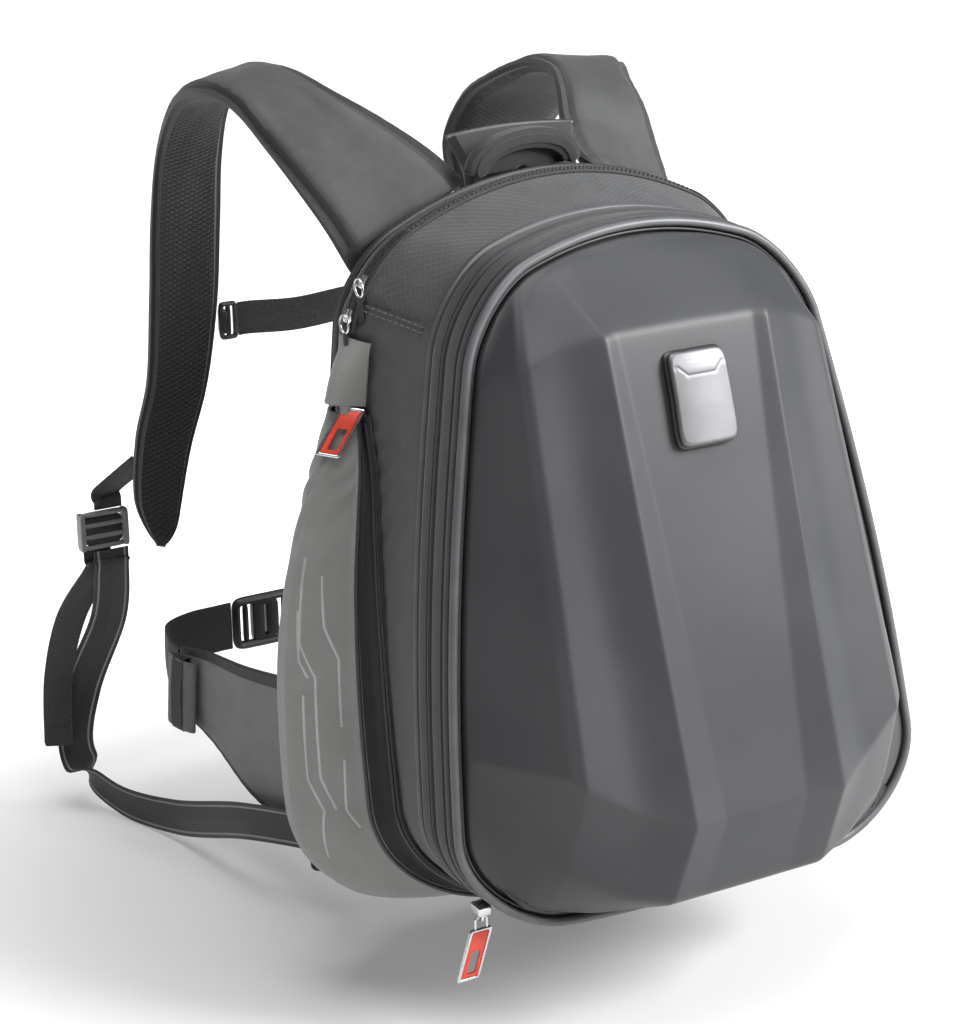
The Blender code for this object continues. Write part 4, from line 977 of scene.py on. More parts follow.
def makeZip():
    form = zipForm
    places = np.arange(form["start"], form["end"], 0.14)
    shares = np.linspace(form["middle"] - form["half"], form["middle"] + form["half"], 13)
    place, share = np.meshgrid(places, shares, indexing="ij")
    points, normals = wallPoint(place, share)
    off = np.abs(share - form["middle"]) / form["half"]
    lift = form["lift"] + 0.0007 * np.exp(-(off / 0.30) ** 2) - 0.0010 * np.exp(-((off - 0.45) / 0.12) ** 2)
    points = points + normals * lift[..., None]
    gridPiece("mainZip", points, "zipTape", "webbing", "main_zip", thickness=0.0014)
    parts = []
    path, facing = wallPoint(np.arange(form["start"] + 0.05, form["end"] - 0.05, 0.045), form["middle"])
    along = unit(np.gradient(path, axis=0))
    side = np.cross(along, facing)
    for index in range(len(path) - 1):
        shift = side[index] * (0.0008 if index % 2 else -0.0008)
        base = path[index] + facing[index] * (form["lift"] + 0.0005) + shift
        tooth = np.array([base - side[index] * 0.0010, base + side[index] * 0.0010])
        parts.append((tubeGrid(tooth, 0.00042, facing[index], 5), False))
    joined("zipTeeth", parts, "darkPiping")
    for number, at in ((1, 27.7), (2, 29.2)):
        spot, out = wallPoint(at, form["middle"])
        ahead, _ = wallPoint(at + 0.2, form["middle"])
        run = unit(ahead - spot)
        across = np.cross(run, out)
        body = []
        for reach, half, tall in ((-.0046, .0016, .0012), (-.0040, .0026, .0030), (-.0008, .0024, .0040),
                                  (.0026, .0030, .0034), (.0044, .0022, .0016)):
            body.append([spot + run * reach + across * half * cos(t) * 1.2
                         + out * (form["lift"] + 0.0022 + tall * 0.6 * sin(t))
                         for t in np.linspace(0, 2 * pi, 10, endpoint=False)])
        parts = [(np.array(body), False)]
        drop = np.array((0, -0.2, -1.0))
        loop = []
        for t in np.linspace(0, 2 * pi, 26, endpoint=False):
            sweep = 0.012 * (0.5 - 0.5 * cos(t))
            loop.append(spot + out * (form["lift"] + 0.0062 + 0.0012 * sin(t / 2)) + unit(drop) * sweep
                        + across * 0.0042 * sin(t) * 0.9)
        parts.append((tubeGrid(np.array(loop), 0.0008, out, 8, closed=True), True))
        cord = np.array(loop)[13] + np.linspace(0, 1, 8)[:, None] * unit(drop + out * 0.05) * 0.016
        joined("zipSlider_%d" % number, parts, "silver", "main_zip_slider_%d" % number)
        tube("zipCord_%d" % number, cord, 0.0021, "binding", "webbing", facing=out, flatness=0.45)
    print("zip made")


makeZip()


# Harness

harness = {"half": 0.20, "reach": 0.25, "top": 0.45}
rootY = panelFaceY + 0.0003 + 0.007


def harnessPoints(rows, side=1):
    rows = np.asarray(rows, float)
    return np.stack([side * rows[..., 0] * harness["half"], backSeamY + rows[..., 1] * harness["reach"],
                     rows[..., 2] * harness["top"]], -1)


# Closed section of a pad: (across from -1 to 1, thickness from -1 to 1, binding or not)
def padSection(count, edgeShare=0.84, crown=1.0):
    top = np.concatenate([[-1.0], -np.cos(np.linspace(0.25, pi - 0.25, count)), [1.0]])
    section = []
    for face in (1, -1):
        for across in (top if face == 1 else top[::-1])[:-1]:
            edge = abs(across)
            rise = (1 - max(edge - 0.70, 0) ** 2 * 6.5) if edge < 1 else 0.0
            if edge > edgeShare and edge < 1:
                rise = 0.42
            section.append((across, face * max(rise, 0.0) * crown, edge > edgeShare))
    return section


# Crowned pad between two edges, with bound edges. Finishes are the outer face, inner face and
# binding
def padded(name, inner, outer, thickness, outward, finishNames, slotName, replaced=(), count=15, puff=0.0008,
           wrinkle=20, seed=1, edgeShare=0.84, rows=120, body="pack", endRound=0.012,
           channels=None, tongue=0.0):
    inner, outer = evenly(inner, rows), evenly(outer, rows)
    middle = (inner + outer) / 2
    along = unit(np.gradient(middle, axis=0))
    across = unit(outer - inner)
    facing = unit(np.cross(along, across))
    if np.mean(np.sum(facing * outward(middle), 1)) < 0:
        facing = -facing
    half = np.linalg.norm(outer - inner, axis=1)[:, None] / 2
    reach = np.concatenate([[0], np.cumsum(np.linalg.norm(np.diff(middle, axis=0), axis=1))])
    ends = np.minimum(reach, reach[-1] - reach)
    taper = np.clip(ends / endRound, 0.02, 1) ** 0.5
    narrow = np.ones(rows)
    if tongue:      # the far end is round in plan
        narrow = np.sqrt(np.clip(1 - (1 - np.clip((reach[-1] - reach) / tongue, 0, 1)) ** 2, 0.12, 1))
    section = padSection(count, edgeShare)
    grid = np.zeros((rows, len(section), 3))
    for k, (wide, tall, bound) in enumerate(section):
        swell = puff * bumps(reach * wrinkle, np.full(rows, wide * 2.2 + (3 if tall > 0 else 0)), seed)
        if bound:
            swell = swell * 0.4 + 0.00012 * np.sin(reach * 520 + wide * 3)
        if channels is not None and abs(tall) > 0:
            swell = swell + channels(reach / reach[-1], wide, tall)
        height = (tall * thickness / 2 + np.sign(tall) * swell) * taper
        spread = across * half * wide * (narrow * (0.985 + 0.015 * taper))[:, None]
        grid[:, k] = middle + spread + facing * height[:, None]
    bounds = [bound for _, _, bound in section]
    talls = [tall for _, tall, _ in section]

    def pick(i, k):
        after = (k + 1) % len(section)
        if (bounds[k] or bounds[after]) or rows - 2 <= i or i < 1:
            return 2
        return 0 if talls[k] > 0 else 1

    piece = gridPiece(name, grid, finishNames, slotName, replaced, closedColumns=True, caps=True,
                      faceFinish=pick, body=body)
    return piece, middle, facing, across, half


leftStrapEdges = (
    ((.250, .0665, .990), (.690, .0665, .875)),
    ((.330, .150, 1.035), (.735, .125, .933)),
    ((.450, .230, 1.080), (.785, .210, .990)),
    ((.575, .290, 1.118), (.840, .290, 1.044)),
    ((.670, .390, 1.147), (.910, .380, 1.104)),
    ((.720, .520, 1.142), (.950, .510, 1.118)),
    ((.730, .680, 1.090), (.945, .690, 1.090)),
    ((.690, .830, .990), (.920, .870, 1.000)),
    ((.660, .920, .870), (.910, .960, .880)),
    ((.665, .960, .735), (.920, .984, .750)),
    ((.710, .980, .600), (.940, 1.000, .615)),
    ((.790, .984, .490), (.995, 1.004, .520)),
    ((.850, .984, .380), (1.015, 1.004, .420)),
    ((.880, .980, .325), (.980, .992, .338)),
)
rightStrapEdges = (
    ((.250, .0665, .990), (.690, .0665, .875)),
    ((.225, .128, 1.007), (.643, .128, .900)),
    ((.250, .228, 1.043), (.659, .228, .961)),
    ((.300, .320, 1.086), (.672, .320, 1.030)),
    ((.350, .432, 1.106), (.712, .440, 1.063)),
    ((.360, .580, 1.103), (.800, .592, 1.078)),
    ((.330, .728, 1.073), (.840, .745, 1.050)),
    ((.304, .860, 1.029), (.810, .885, 1.005)),
    ((.285, .950, .947), (.745, .985, .930)),
    ((.350, .980, .860), (.720, 1.010, .850)),
    ((.470, .985, .750), (.810, 1.010, .745)),
    ((.590, .985, .630), (.880, 1.005, .635)),
    ((.735, .984, .500), (.965, 1.004, .525)),
    ((.850, .984, .380), (1.015, 1.004, .420)),
    ((.880, .980, .325), (.980, .992, .338)),
)


# Directions away from the space that the wearer's shoulder takes
def awayFromShoulder(middle):
    centre = np.stack([middle[:, 0], np.full(len(middle), 0.31), np.minimum(middle[:, 2], 0.40)], 1)
    return unit(middle - centre)


def makeStraps():
    for side, name, edges in ((1, "r", rightStrapEdges), (-1, "l", leftStrapEdges)):
        inner = harnessPoints([edge for edge, _ in edges], side)
        outer = harnessPoints([edge for _, edge in edges], side)
        ridge = lambda share, wide, tall: (np.where(tall > 0, -0.0012, 0.0) * np.ones_like(share)
                                           * np.exp(-((abs(wide) - 0.80) / 0.03) ** 2))
        padded("shoulderStrap_" + name, inner, outer, 0.0138, awayFromShoulder,
               ("overlay", "mesh", "binding"), "dark_fabric", "shoulder_strap_" + name, count=19,
               puff=0.0009, wrinkle=26, seed=4 + side, rows=190, channels=ridge, tongue=0.030)
    print("straps made")


makeStraps()


def makeYoke():
    form = {"levels": ((-0.046, 0.046, 0.0, .862), (-0.045, 0.040, 0.0074, .990),
                       (-0.047, 0.050, 0.0274, 1.048)),
            "thick": 0.0132, "sag": 0.008, "crown": 0.003, "roll": 0.0034}
    count = 26
    levels = evenly(form["levels"], count)
    rows = []
    for share in np.linspace(-1, 1, 40):
        spine = np.stack([(levels[:, 0] + levels[:, 1]) / 2 + share * (levels[:, 1] - levels[:, 0]) / 2,
                          rootY + levels[:, 2], levels[:, 3] * harness["top"]], 1)
        spine[:, 2] -= form["sag"] * (1 - share ** 2) * np.linspace(1, 0, count) ** 3
        spine[:, 2] -= form["crown"] * share ** 2 * np.linspace(0, 1, count) ** 2
        along = unit(np.gradient(spine, axis=0))
        out = unit(np.stack([np.zeros(count), along[:, 2], -along[:, 1]], 1))
        heights = np.linspace(0, 1, count)
        edge = np.minimum(1, np.minimum(heights, 1 - heights) / 0.12 + 0.45)
        edge = edge * np.minimum(1, (1 - abs(share)) / 0.08 + 0.5)
        swell = 0.0005 * bumps(heights * 5, np.full(count, share * 4), 6)
        half = (form["thick"] / 2 + swell - 0.0006)[:, None] * edge[:, None]
        front, rear = spine - out * half, spine + out * half
        top = spine[-1] + along[-1] * form["roll"]
        rows.append(np.concatenate([front, [top], rear[::-1]]))
    yoke = gridPiece("yoke", np.array(rows), ("binding", "mesh"), "dark_fabric", "harness_yoke",
                     closedColumns=True, caps=True, faceFinish=lambda i, k: 29 < k < 50)
    inner = np.array([row[count] for row in rows])
    tube("yokePiping", inner - (0, 0.0016, 0.0012), 0.0021, "darkPiping", "dark_fabric", facing=(0, 0, 1))
    form = {"x": -0.010, "y": panelFaceY - 0.0008, "half": 0.036, "rise": 0.0207, "seat": 0.0018,
            "wide": 0.0135, "thick": 0.014}
    feet = []
    for side in (-1, 1):
        x = form["x"] + side * (form["half"] - form["thick"] / 2)
        feet.append(backSizes["height"] - backDrop - 0.001
                    - backSizes["crown"] * (x / (backSizes["top"] / 2)) ** 2
                    + form["seat"])
    turns = np.radians(np.linspace(0, 180, 41))
    path = np.stack([form["x"] - form["half"] * np.cos(turns), np.full(41, form["y"]),
                     feet[0] + (feet[1] - feet[0]) * (1 - np.cos(turns)) / 2
                     + form["rise"] * np.sin(turns).clip(0) ** 0.8], 1)
    inner, outer = path + (0, form["wide"] / 2, 0), path - (0, form["wide"] / 2, 0)
    padded("grabHandle", inner, outer, form["thick"],
           lambda m: unit(m - np.array((form["x"], form["y"], 0.44))),
           ("binding", "binding", "binding"), "dark_fabric", "grab_handle", rows=90, count=11,
           endRound=0.003)
    middle = np.array((form["x"], form["y"] + 0.002, (feet[0] + feet[1]) / 2))
    # Dark cloth behind the arch
    fill = np.stack([middle + (path - middle) * share for share in np.linspace(0.08, 0.9, 12)])
    gridPiece("handleLining", fill, "binding", "dark_fabric", "grab_handle", thickness=0.003)
    print("yoke and handle made")


makeYoke()


# Webbing

webbingForm = {"thick": 0.0018, "adjust": 0.028, "tail": 0.022, "belt": 0.038, "sternum": 0.025}
lockPlace = {"centre": (1.090, 1.115, .355), "size": (0.038, 0.010, 0.030), "clear": 0.0008, "lead": 0.014}
tabPlace = {"x": .760, "z": -.014, "size": (0.070, 0.003, 0.032), "rootX": .860}


# Flat woven band with slightly rounded edges along a smooth route
def ribbon(name, centres, widthways, width, finish, slotName, replaced=(), thick=None, rows=120,
           cupping=0.0, seed=0):
    path, turned = evenly(centres, rows), evenly(widthways, rows)
    along = unit(np.gradient(path, axis=0))
    side = unit(turned - along * np.sum(turned * along, 1)[:, None])
    out = np.cross(along, side)
    thick = thick or webbingForm["thick"]
    reach = np.concatenate([[0], np.cumsum(np.linalg.norm(np.diff(path, axis=0), axis=1))])
    section = [(-1, 0)] + [(w, 1) for w in (-0.97, -0.9, -0.6, -0.3, 0, 0.3, 0.6, 0.9, 0.97)] + [(1, 0)]
    section += [(w, -1) for w in (0.97, 0.9, 0.6, 0.3, 0, -0.3, -0.6, -0.9, -0.97)]
    grid = np.zeros((rows, len(section), 3))
    for k, (wide, tall) in enumerate(section):
        wave = cupping * (wide ** 2 - 0.4) + 0.0004 * bumps(reach * 30, np.full(rows, wide * 1.5), seed + 2)
        wave = wave * np.clip(np.minimum(reach, reach[-1] - reach) / 0.02, 0, 1)
        grid[:, k] = path + side * (wide * width / 2) + out * (tall * thick / 2 + wave)[:, None]
    across = np.array([(wide + 1) * width / 2 for wide, _ in section])
    uv = (np.broadcast_to(across, (rows, len(section))).copy(),
          np.broadcast_to(reach[:, None], (rows, len(section))).copy())
    mesh = gridPiece(name, grid, finish, slotName, replaced, closedColumns=True, caps=True, uv=uv,
                     smoothAngle=60)
    return mesh, path, side, out


def mirrorX(values, side):
    return np.asarray(values, float) * (side, 1, 1)


def routePoints(route, side):
    return harnessPoints([point for point, _ in route], side), mirrorX([way for _, way in route], side)


def lockLead(sideways, behind, side, upward):
    end = harnessPoints([lockPlace["centre"]], side)[0] + (side * sideways, behind, 0)
    end[2] += upward * (lockPlace["size"][2] / 2 + lockPlace["clear"])
    return [end + (0, 0, upward * lockPlace["lead"] * share) for share in (0, 0.5, 1)]


# Rounded block as a closed loft along its third axis: superellipse rings
def blockParts(centre, size, axes=None, corner=0.2):
    axes = np.eye(3) if axes is None else np.asarray(axes, float)
    turns = np.linspace(0, 2 * pi, 28, endpoint=False)
    c, s = np.cos(turns), np.sin(turns)
    power = 2 / 7
    ring = np.stack([np.sign(c) * np.abs(c) ** power, np.sign(s) * np.abs(s) ** power], 1)
    rows = []
    for depth, shrink in ((-1, 1 - corner), (-0.86, 0.985 - corner * 0.15), (-0.6, 1), (0.6, 1),
                          (0.86, 0.985 - corner * 0.15), (1, 1 - corner)):
        rows.append(np.asarray(centre) + (ring[:, :1] * size[0] / 2 * shrink) * axes[0]
                    + (ring[:, 1:] * size[1] / 2 * shrink) * axes[1] + axes[2] * size[2] / 2 * depth)
    return (np.array(rows), False)


def barPart(start, end, radius, facing=(0, 0, 1), flatness=1.0, sides=10):
    steps = np.linspace(0, 1, 6)[:, None]
    path = np.array(start)[None] * (1 - steps) + np.array(end)[None] * steps
    return (tubeGrid(path, np.array((0.8, 1, 1, 1, 1, 0.8)) * radius, facing, sides, flatness), False)


# Closed rounded rectangular loop of rod
def framePart(centre, half, axes, radius, roundness=0.25, flatness=1.0, points=48):
    turns = np.linspace(0, 2 * pi, points, endpoint=False)
    c, s = np.cos(turns), np.sin(turns)
    loop = (np.sign(c) * np.abs(c) ** roundness)[:, None] * half[0] * axes[0] + \
        (np.sign(s) * np.abs(s) ** roundness)[:, None] * half[1] * axes[1]
    return (tubeGrid(np.asarray(centre) + loop, radius, axes[2], 8, flatness, closed=True), True)


adjustRoute = (((1.050, 1.200, .180), (1, .3, 0)), ((1.120, 1.310, .040), (.8, .5, .1)),
               ((1.180, 1.270, -.070), (.5, .6, .5)), ((1.100, 1.120, -.130), (.2, 0, 1)),
               ((1.000, .850, -.120), (0, 0, 1)), ((.955, .450, -.045), (0, 0, 1)))
tailRoute = (((1.180, 1.250, .180), (1, .5, 0)), ((1.215, 1.320, .060), (1, .6, 0)),
             ((1.250, 1.280, -.045), (1, .6, 0)))
tabRoute = (((.960, 1.036, .475), (1, .1, 0)),)


def makeAdjusters():
    for side, name in ((1, "r"), (-1, "l")):
        tabEnd = harnessPoints([(tabPlace["rootX"], 0, tabPlace["z"])], side)[0]
        tabEnd[1] = panelFaceY + 0.0003 + tabPlace["size"][1] + 0.0006
        tabLead = [tabEnd + (0, lockPlace["lead"] * steps, 0) for steps in (2, 1, 0)]
        start = lockLead(-0.004, -0.003, side, -1)
        centres, ways = routePoints(adjustRoute, side)
        centres = np.concatenate([start, centres, tabLead])
        ways = np.concatenate([[(side, 0, 0)] * 3, ways, [(0, 0, 1)] * 3])
        ribbon("adjustWebbing_" + name, centres, ways, webbingForm["adjust"], "linedWebbing", "webbing",
               "adjust_webbing_" + name, rows=200, cupping=0.0010, seed=side + 3)
        centres, ways = routePoints(tailRoute, side)
        centres = np.concatenate([lockLead(0.005, 0.002, side, -1), centres])
        ways = np.concatenate([[(side, 0, 0)] * 3, ways])
        _, path, across, out = ribbon("webbingTail_" + name, centres, ways, webbingForm["tail"], "webbing",
                                      "webbing", "webbing_tail_" + name, rows=110, cupping=0.0008,
                                      seed=side + 8)
        hem = [path[-7 + n] for n in range(7)]
        joined("tailHem_" + name, [blockParts(np.mean(hem, 0), (0.021, 0.0042, 0.014),
                                              (across[-4], out[-4], unit(path[-1] - path[-7])), 0.12)],
               "webbing")
        centres, ways = routePoints(tabRoute, side)
        centres = np.concatenate([centres, lockLead(-0.005, 0.0, side, 1)[::-1]])
        ways = np.concatenate([ways, [(side, 0, 0)] * 3])
        ribbon("strapTab_" + name, centres, ways, webbingForm["tail"], "webbing", "webbing",
               "strap_tab_" + name, rows=50)
        centre = harnessPoints([lockPlace["centre"]], side)[0]
        axes = np.array(((1, 0, 0), (0, 0, 1), (0, 1, 0)), float)
        parts = [blockParts(centre + (sx * 0.0172, 0, 0), (0.0040, 0.029, 0.0092), axes, 0.15)
                 for sx in (1, -1)]
        for height in (-0.0128, -0.0045, 0.0045, 0.0128):
            parts.append(barPart(centre + (-0.017, 0, height), centre + (0.017, 0, height), 0.0021,
                                 (0, 1, 0), 1.3))
        joined("ladderLock_" + name, parts, "greyBuckle", "ladder_lock_" + name)
        joined("lockCore_" + name, [blockParts(centre + (0, 0.0006, 0), (0.0300, 0.022, 0.0040), axes, 0.1)],
               "buckle")
        long, thin, tall = tabPlace["size"]
        tab = np.array((side * tabPlace["x"] * harness["half"], panelFaceY + 0.0003 + 0.0015,
                        tabPlace["z"] * harness["top"]))
        joined("lowerTab_" + name, [blockParts(tab, (long, tall, thin), axes, 0.04)], "binding",
               "lower_tab_" + name)
    print("adjusters made")


makeAdjusters()


# Hip belt: wings, folded webbing, keepers and buckle

wingRows = (((.765, .0460, .034), (.765, .0460, .245)), ((.765, .100, .010), (.765, .100, .240)),
            ((.820, .200, -.040), (.820, .200, .228)), ((.865, .500, -.030), (.865, .500, .200)),
            ((.890, .740, .025), (.890, .740, .186)), ((.930, .880, .060), (.930, .880, .176)))
beltRoute = (((.936, .895, .128), (0, 0, 1)), ((.938, .960, .134), (0, 0, 1)),
             ((.900, 1.030, .144), (0, 0, 1)), ((.800, 1.055, .150), (0, 0, 1)))
bundleRoute = (((.950, .760, .105), (0, .1, 1)), ((.985, .880, .110), (0, .1, 1)))
beltForm = {"buckleX": -0.095, "buckle": (0.056, 0.011, 0.042), "y": 1.062, "z": .150}


def wingRidge(share, wide, tall):
    return -0.0010 * np.exp(-((abs(wide) - 0.86) / 0.025) ** 2) * np.ones_like(share)


def makeBelt():
    form = beltForm
    buckle = harnessPoints([(0, form["y"], form["z"])])[0]
    buckle[0] = form["buckleX"]
    for side, name in ((1, "r"), (-1, "l")):
        low = harnessPoints([low for low, _ in wingRows], side)
        high = harnessPoints([high for _, high in wingRows], side)
        padded("hipWing_" + name, low, high, 0.0098, lambda m, s=side: np.broadcast_to((s, 0, 0), m.shape),
               ("wing", "mesh", "binding"), "pocket_fabric", "hip_wing_" + name, rows=110, count=17,
               puff=0.0009, wrinkle=22, seed=9 + side, edgeShare=0.88,
               channels=wingRidge)
        route = list(harnessPoints([point for point, _ in beltRoute], side))
        if side == 1:
            route += list(harnessPoints([(.5, form["y"] + .02, form["z"]),
                                         (0, form["y"] + .025, form["z"])]))
        end = buckle[0] + side * (form["buckle"][0] / 2 + 0.0006)
        route += [np.array((end + side * 0.012, buckle[1], buckle[2])),
                  np.array((end, buckle[1], buckle[2]))]
        ribbon("hipWebbing_" + name, np.array(route), np.tile((0, 0, 1.0), (len(route), 1)),
               webbingForm["belt"],
               "webbing", "webbing", "hip_webbing_" + name, rows=150, cupping=0.0012, seed=side + 5)
        centres, ways = routePoints(bundleRoute, side)
        middle = centres.mean(0)
        run = unit(centres[1] - centres[0])
        up = unit(ways[0] - run * np.dot(ways[0], run))
        out = np.cross(run, up) * side
        spiral = []
        for t in np.linspace(0, 2 * pi * 2.2, 70):
            size = 1 - 0.30 * t / (2 * pi * 2.2)
            spiral.append(middle + run * cos(t) * 0.0165 * size + out * side * sin(t) * 0.0042 * size)
        ribbon("foldedWebbing_" + name, np.array(spiral), np.tile(up, (70, 1)), 0.056, "greyWebbing",
               "webbing", "webbing_bundle_" + name, thick=0.0013, rows=150, seed=side + 1)
        loop = np.array([middle + up * (np.sign(cos(t)) * abs(cos(t)) ** 0.4 * 0.0285)
                         + out * (np.sign(sin(t)) * abs(sin(t)) ** 0.4 * 0.0050)
                         for t in np.linspace(0, 2 * pi, 44, endpoint=False)])
        joined("webbingKeeper_" + name, [(np.array([[p + run * w * 0.006 + unit(p - middle) * h
                                                     for w, h in ((-1, 0), (-1, .0010), (1, .0010), (1, 0))]
                                                    for p in loop]), True)], "binding")
    axes = np.array(((1, 0, 0), (0, 0, 1), (0, 1, 0)), float)
    parts = [framePart(buckle, (0.0245, 0.0180), axes, 0.0034, 0.22, 1.2)]
    parts += [blockParts(buckle + (0.0060 * s, 0.0008, 0), (0.0100, 0.030, 0.0070), axes, 0.15)
              for s in (-1, 1)]
    parts += [barPart(buckle + (s * 0.0165, 0, -0.017), buckle + (s * 0.0165, 0, 0.017), 0.0024, (0, 1, 0))
              for s in (-1, 1)]
    parts += [blockParts(buckle + (0, 0.0010, s * 0.0155), (0.020, 0.006, 0.0080), axes, 0.15)
              for s in (-1, 1)]
    joined("hipBuckle", parts, "buckle", "hip_buckle")
    print("belt made")


makeBelt()


# Sternum strap

sternumForm = {"height": .700, "reach": .955, "adjusterX": {"l": .6285, "r": .4625},
               "buckle": (0.042, 0.010, 0.026), "adjuster": (0.014, 0.010, 0.028)}


def makeSternum():
    form = sternumForm
    middle = harnessPoints([(0, form["reach"], form["height"])])[0]
    axes = np.array(((1, 0, 0), (0, 0, 1), (0, 1, 0)), float)
    parts = [framePart(middle + (0.0085, 0, 0), (0.0105, 0.0100), axes, 0.0026, 0.3, 1.2),
             blockParts(middle + (-0.0110, 0, 0), (0.0180, 0.0240, 0.0090), axes, 0.2),
             blockParts(middle + (0.0035, 0, 0), (0.0190, 0.0090, 0.0060), axes, 0.2),
             blockParts(middle + (0.0175, 0, 0), (0.0050, 0.0240, 0.0070), axes, 0.2)]
    joined("sternumBuckle", parts, "buckle", "sternum_buckle")
    for side, name in ((1, "r"), (-1, "l")):
        adjuster = harnessPoints([(form["adjusterX"][name], form["reach"], form["height"])], side)[0]
        start = adjuster - (side * (form["adjuster"][0] / 2 + 0.0009), 0, 0)
        end = middle + (side * (form["buckle"][0] / 2 + 0.0009), 0, 0)
        straight = np.array((side * 0.010, 0, 0))
        route = np.array([start, start - straight, (start + end) / 2 + (0, 0.002, -0.003), end + straight,
                          end])
        ribbon("sternumWebbing_" + name, route, np.tile((0, 0, 1.0), (5, 1)), webbingForm["sternum"],
               "webbing", "webbing", "sternum_webbing_" + name, rows=70, cupping=0.0008, seed=side)
        parts = [framePart(adjuster, (0.0056, 0.0125), axes, 0.0018, 0.25, 1.6),
                 barPart(adjuster + (0, 0, -0.012), adjuster + (0, 0, 0.012), 0.0020, (0, 1, 0), 1.2),
                 blockParts(adjuster + (side * 0.0045, 0, 0), (0.0045, 0.018, 0.0085), axes, 0.2)]
        joined("sternumAdjuster_" + name, parts, "buckle", "sternum_adjuster_" + name)
    print("sternum strap made")


makeSternum()


# Zip pulls

pullForm = {"height": 0.034, "width": 0.016, "thick": 0.0024, "slant": 0.011, "border": 0.0018}


# Rounded slanted rectangle as (sideways, up) points
def slantedLoop(height, width, slant, corner, count=10):
    points = []
    for index, (sx, sz) in enumerate(((1, 1), (-1, 1), (-1, -1), (1, -1))):
        for t in np.linspace(index * pi / 2, (index + 1) * pi / 2, count):
            u = sx * (width / 2 - corner) + corner * cos(t)
            v = sz * (height / 2 - corner) + corner * sin(t)
            points.append((u + slant * v / height, v))
    return np.array(points)


# Closed flat ring between two loops, its outer corners cut
def bandLoop(outer, inner, centre, across, up, out, low, high, bevel=0.0004):
    def lay(loop, depth):
        return centre + loop[:, :1] * across + loop[:, 1:] * up + out * depth
    rows = [lay(outer, low + bevel), lay(outer, high - bevel), lay(outer * 0.97, high),
            lay(inner * 1.03, high), lay(inner, high - bevel), lay(inner, low + bevel),
            lay(inner * 1.03, low), lay(outer * 0.97, low)]
    return (np.array(rows).swapaxes(0, 1), True)


def makePull(name, centre, up, out, body, frameNode, insertNode, lean=1):
    form = pullForm
    centre, up, out = (np.asarray(v, float) for v in (centre, up, out))
    across = np.cross(up, out)
    outerLoop = slantedLoop(form["height"], form["width"], form["slant"] * lean, 0.0016)
    innerLoop = slantedLoop(form["height"] - 2 * form["border"], form["width"] - 2 * form["border"],
                            form["slant"] * 0.9 * lean, 0.0012)
    windowLoop = slantedLoop(0.0150, 0.0066, 0.0046 * lean, 0.0010) + (-0.0010 * lean, -0.0050)
    joined(name + "Frame", [bandLoop(outerLoop, innerLoop, centre, across, up, out, 0.0, form["thick"])],
           "silver", frameNode, body=body)

    def lay(loop, depth):
        return centre + loop[:, :1] * across + loop[:, 1:] * up + out * depth

    grown = innerLoop * 0.985
    rows = [lay(grown, 0.0003), lay(grown, 0.0017), lay(grown * 0.94, 0.0021), lay(windowLoop, 0.0021),
            lay(windowLoop, 0.0003)]
    joined(name + "Insert", [(np.array(rows).swapaxes(0, 1), True)], "red", insertNode,
           body=body)


def makeSidePulls():
    form = pocketForm
    rows = []
    for place, bulge, edge in zip(form["places"], form["heights"], form["edges"]):
        points, normals = wallPoint(np.full(9, place), edge + (1 - edge) * np.array(form["across"]))
        rows.append(points + normals * (form["hem"]
                                        + form["bulge"] * bulge * np.array(form["outs"]))[:, None])
    low, high = rows[-2], rows[-1]
    upward = unit(high[3] - low[3])
    out = unit(np.cross(low[4] - low[2], upward))
    centre = low[3] + (high[3] - low[3]) * 0.62 + out * 0.0016
    for side, name in ((1, "r"), (-1, "l")):
        spot, rise, face = mirrorX(centre, side), mirrorX(upward, side), mirrorX(out, side)
        makePull("sidePull_" + name, spot, rise, face, "pack", "side_pull_%s_frame" % name,
                 "side_pull_%s_insert" % name, -side)
        cord = [spot + rise * (0.012 + 0.020 * t) + face * (0.0012 + 0.0040 * sin(pi * t * 0.6))
                for t in np.linspace(0, 1, 12)]
        tube("sidePullCord_" + name, np.array(cord), 0.0034, "pocket", "pocket_fabric", facing=face,
             flatness=0.4)
    print("side pulls made")


makeSidePulls()


def makeFrontPull():
    # World position of the axis, moved into the tables' own frame
    pivot = np.array(frame["joints"][0]["pos_m"]) + originShift
    drop, half, wire = 0.0075, 0.0042, 0.0008
    path = [(-half, -drop), (-half, -0.0017)]
    for t in np.linspace(pi, pi / 2, 6):
        path.append((-half + 0.0017 + 0.0017 * cos(t), -0.0017 + 0.0017 * sin(t)))
    for t in np.linspace(pi / 2, 0, 6):
        path.append((half - 0.0017 + 0.0017 * cos(t), -0.0017 + 0.0017 * sin(t)))
    path += [(half, -0.0017), (half, -drop)]
    path = np.array([pivot + (x, 0, z) for x, z in path])
    tube("frontPullWire", path, wire, "silver", "dark_chrome", facing=(0, 1, 0), sides=10,
         replaced="front_pull_link", body="front_pull")
    centre = pivot + (-pullForm["slant"] / 2, pullForm["thick"] / 2, -drop - 0.0003 - pullForm["height"] / 2)
    makePull("frontPull", centre, (0, 0, 1), (0, -1, 0), "front_pull", "front_pull_frame",
             "front_pull_insert")
    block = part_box("front_zip_slider")
    top = np.array(block[1]) + originShift
    low = np.array(block[0]) + originShift
    middle = (top + low) / 2
    axes = np.eye(3)
    parts = [blockParts((middle[0], middle[1], top[2] - 0.0035), (0.0098, 0.0125, 0.0068), axes, 0.15),
             framePart(pivot, (0.0022, 0.0024), np.array(((0, 1, 0), (0, 0, 1), (1, 0, 0)), float),
                       0.0008, 0.7, 1.2, 24)]
    joined("frontSlider", parts, "silver", "front_zip_slider")
    print("front pull made")


makeFrontPull()


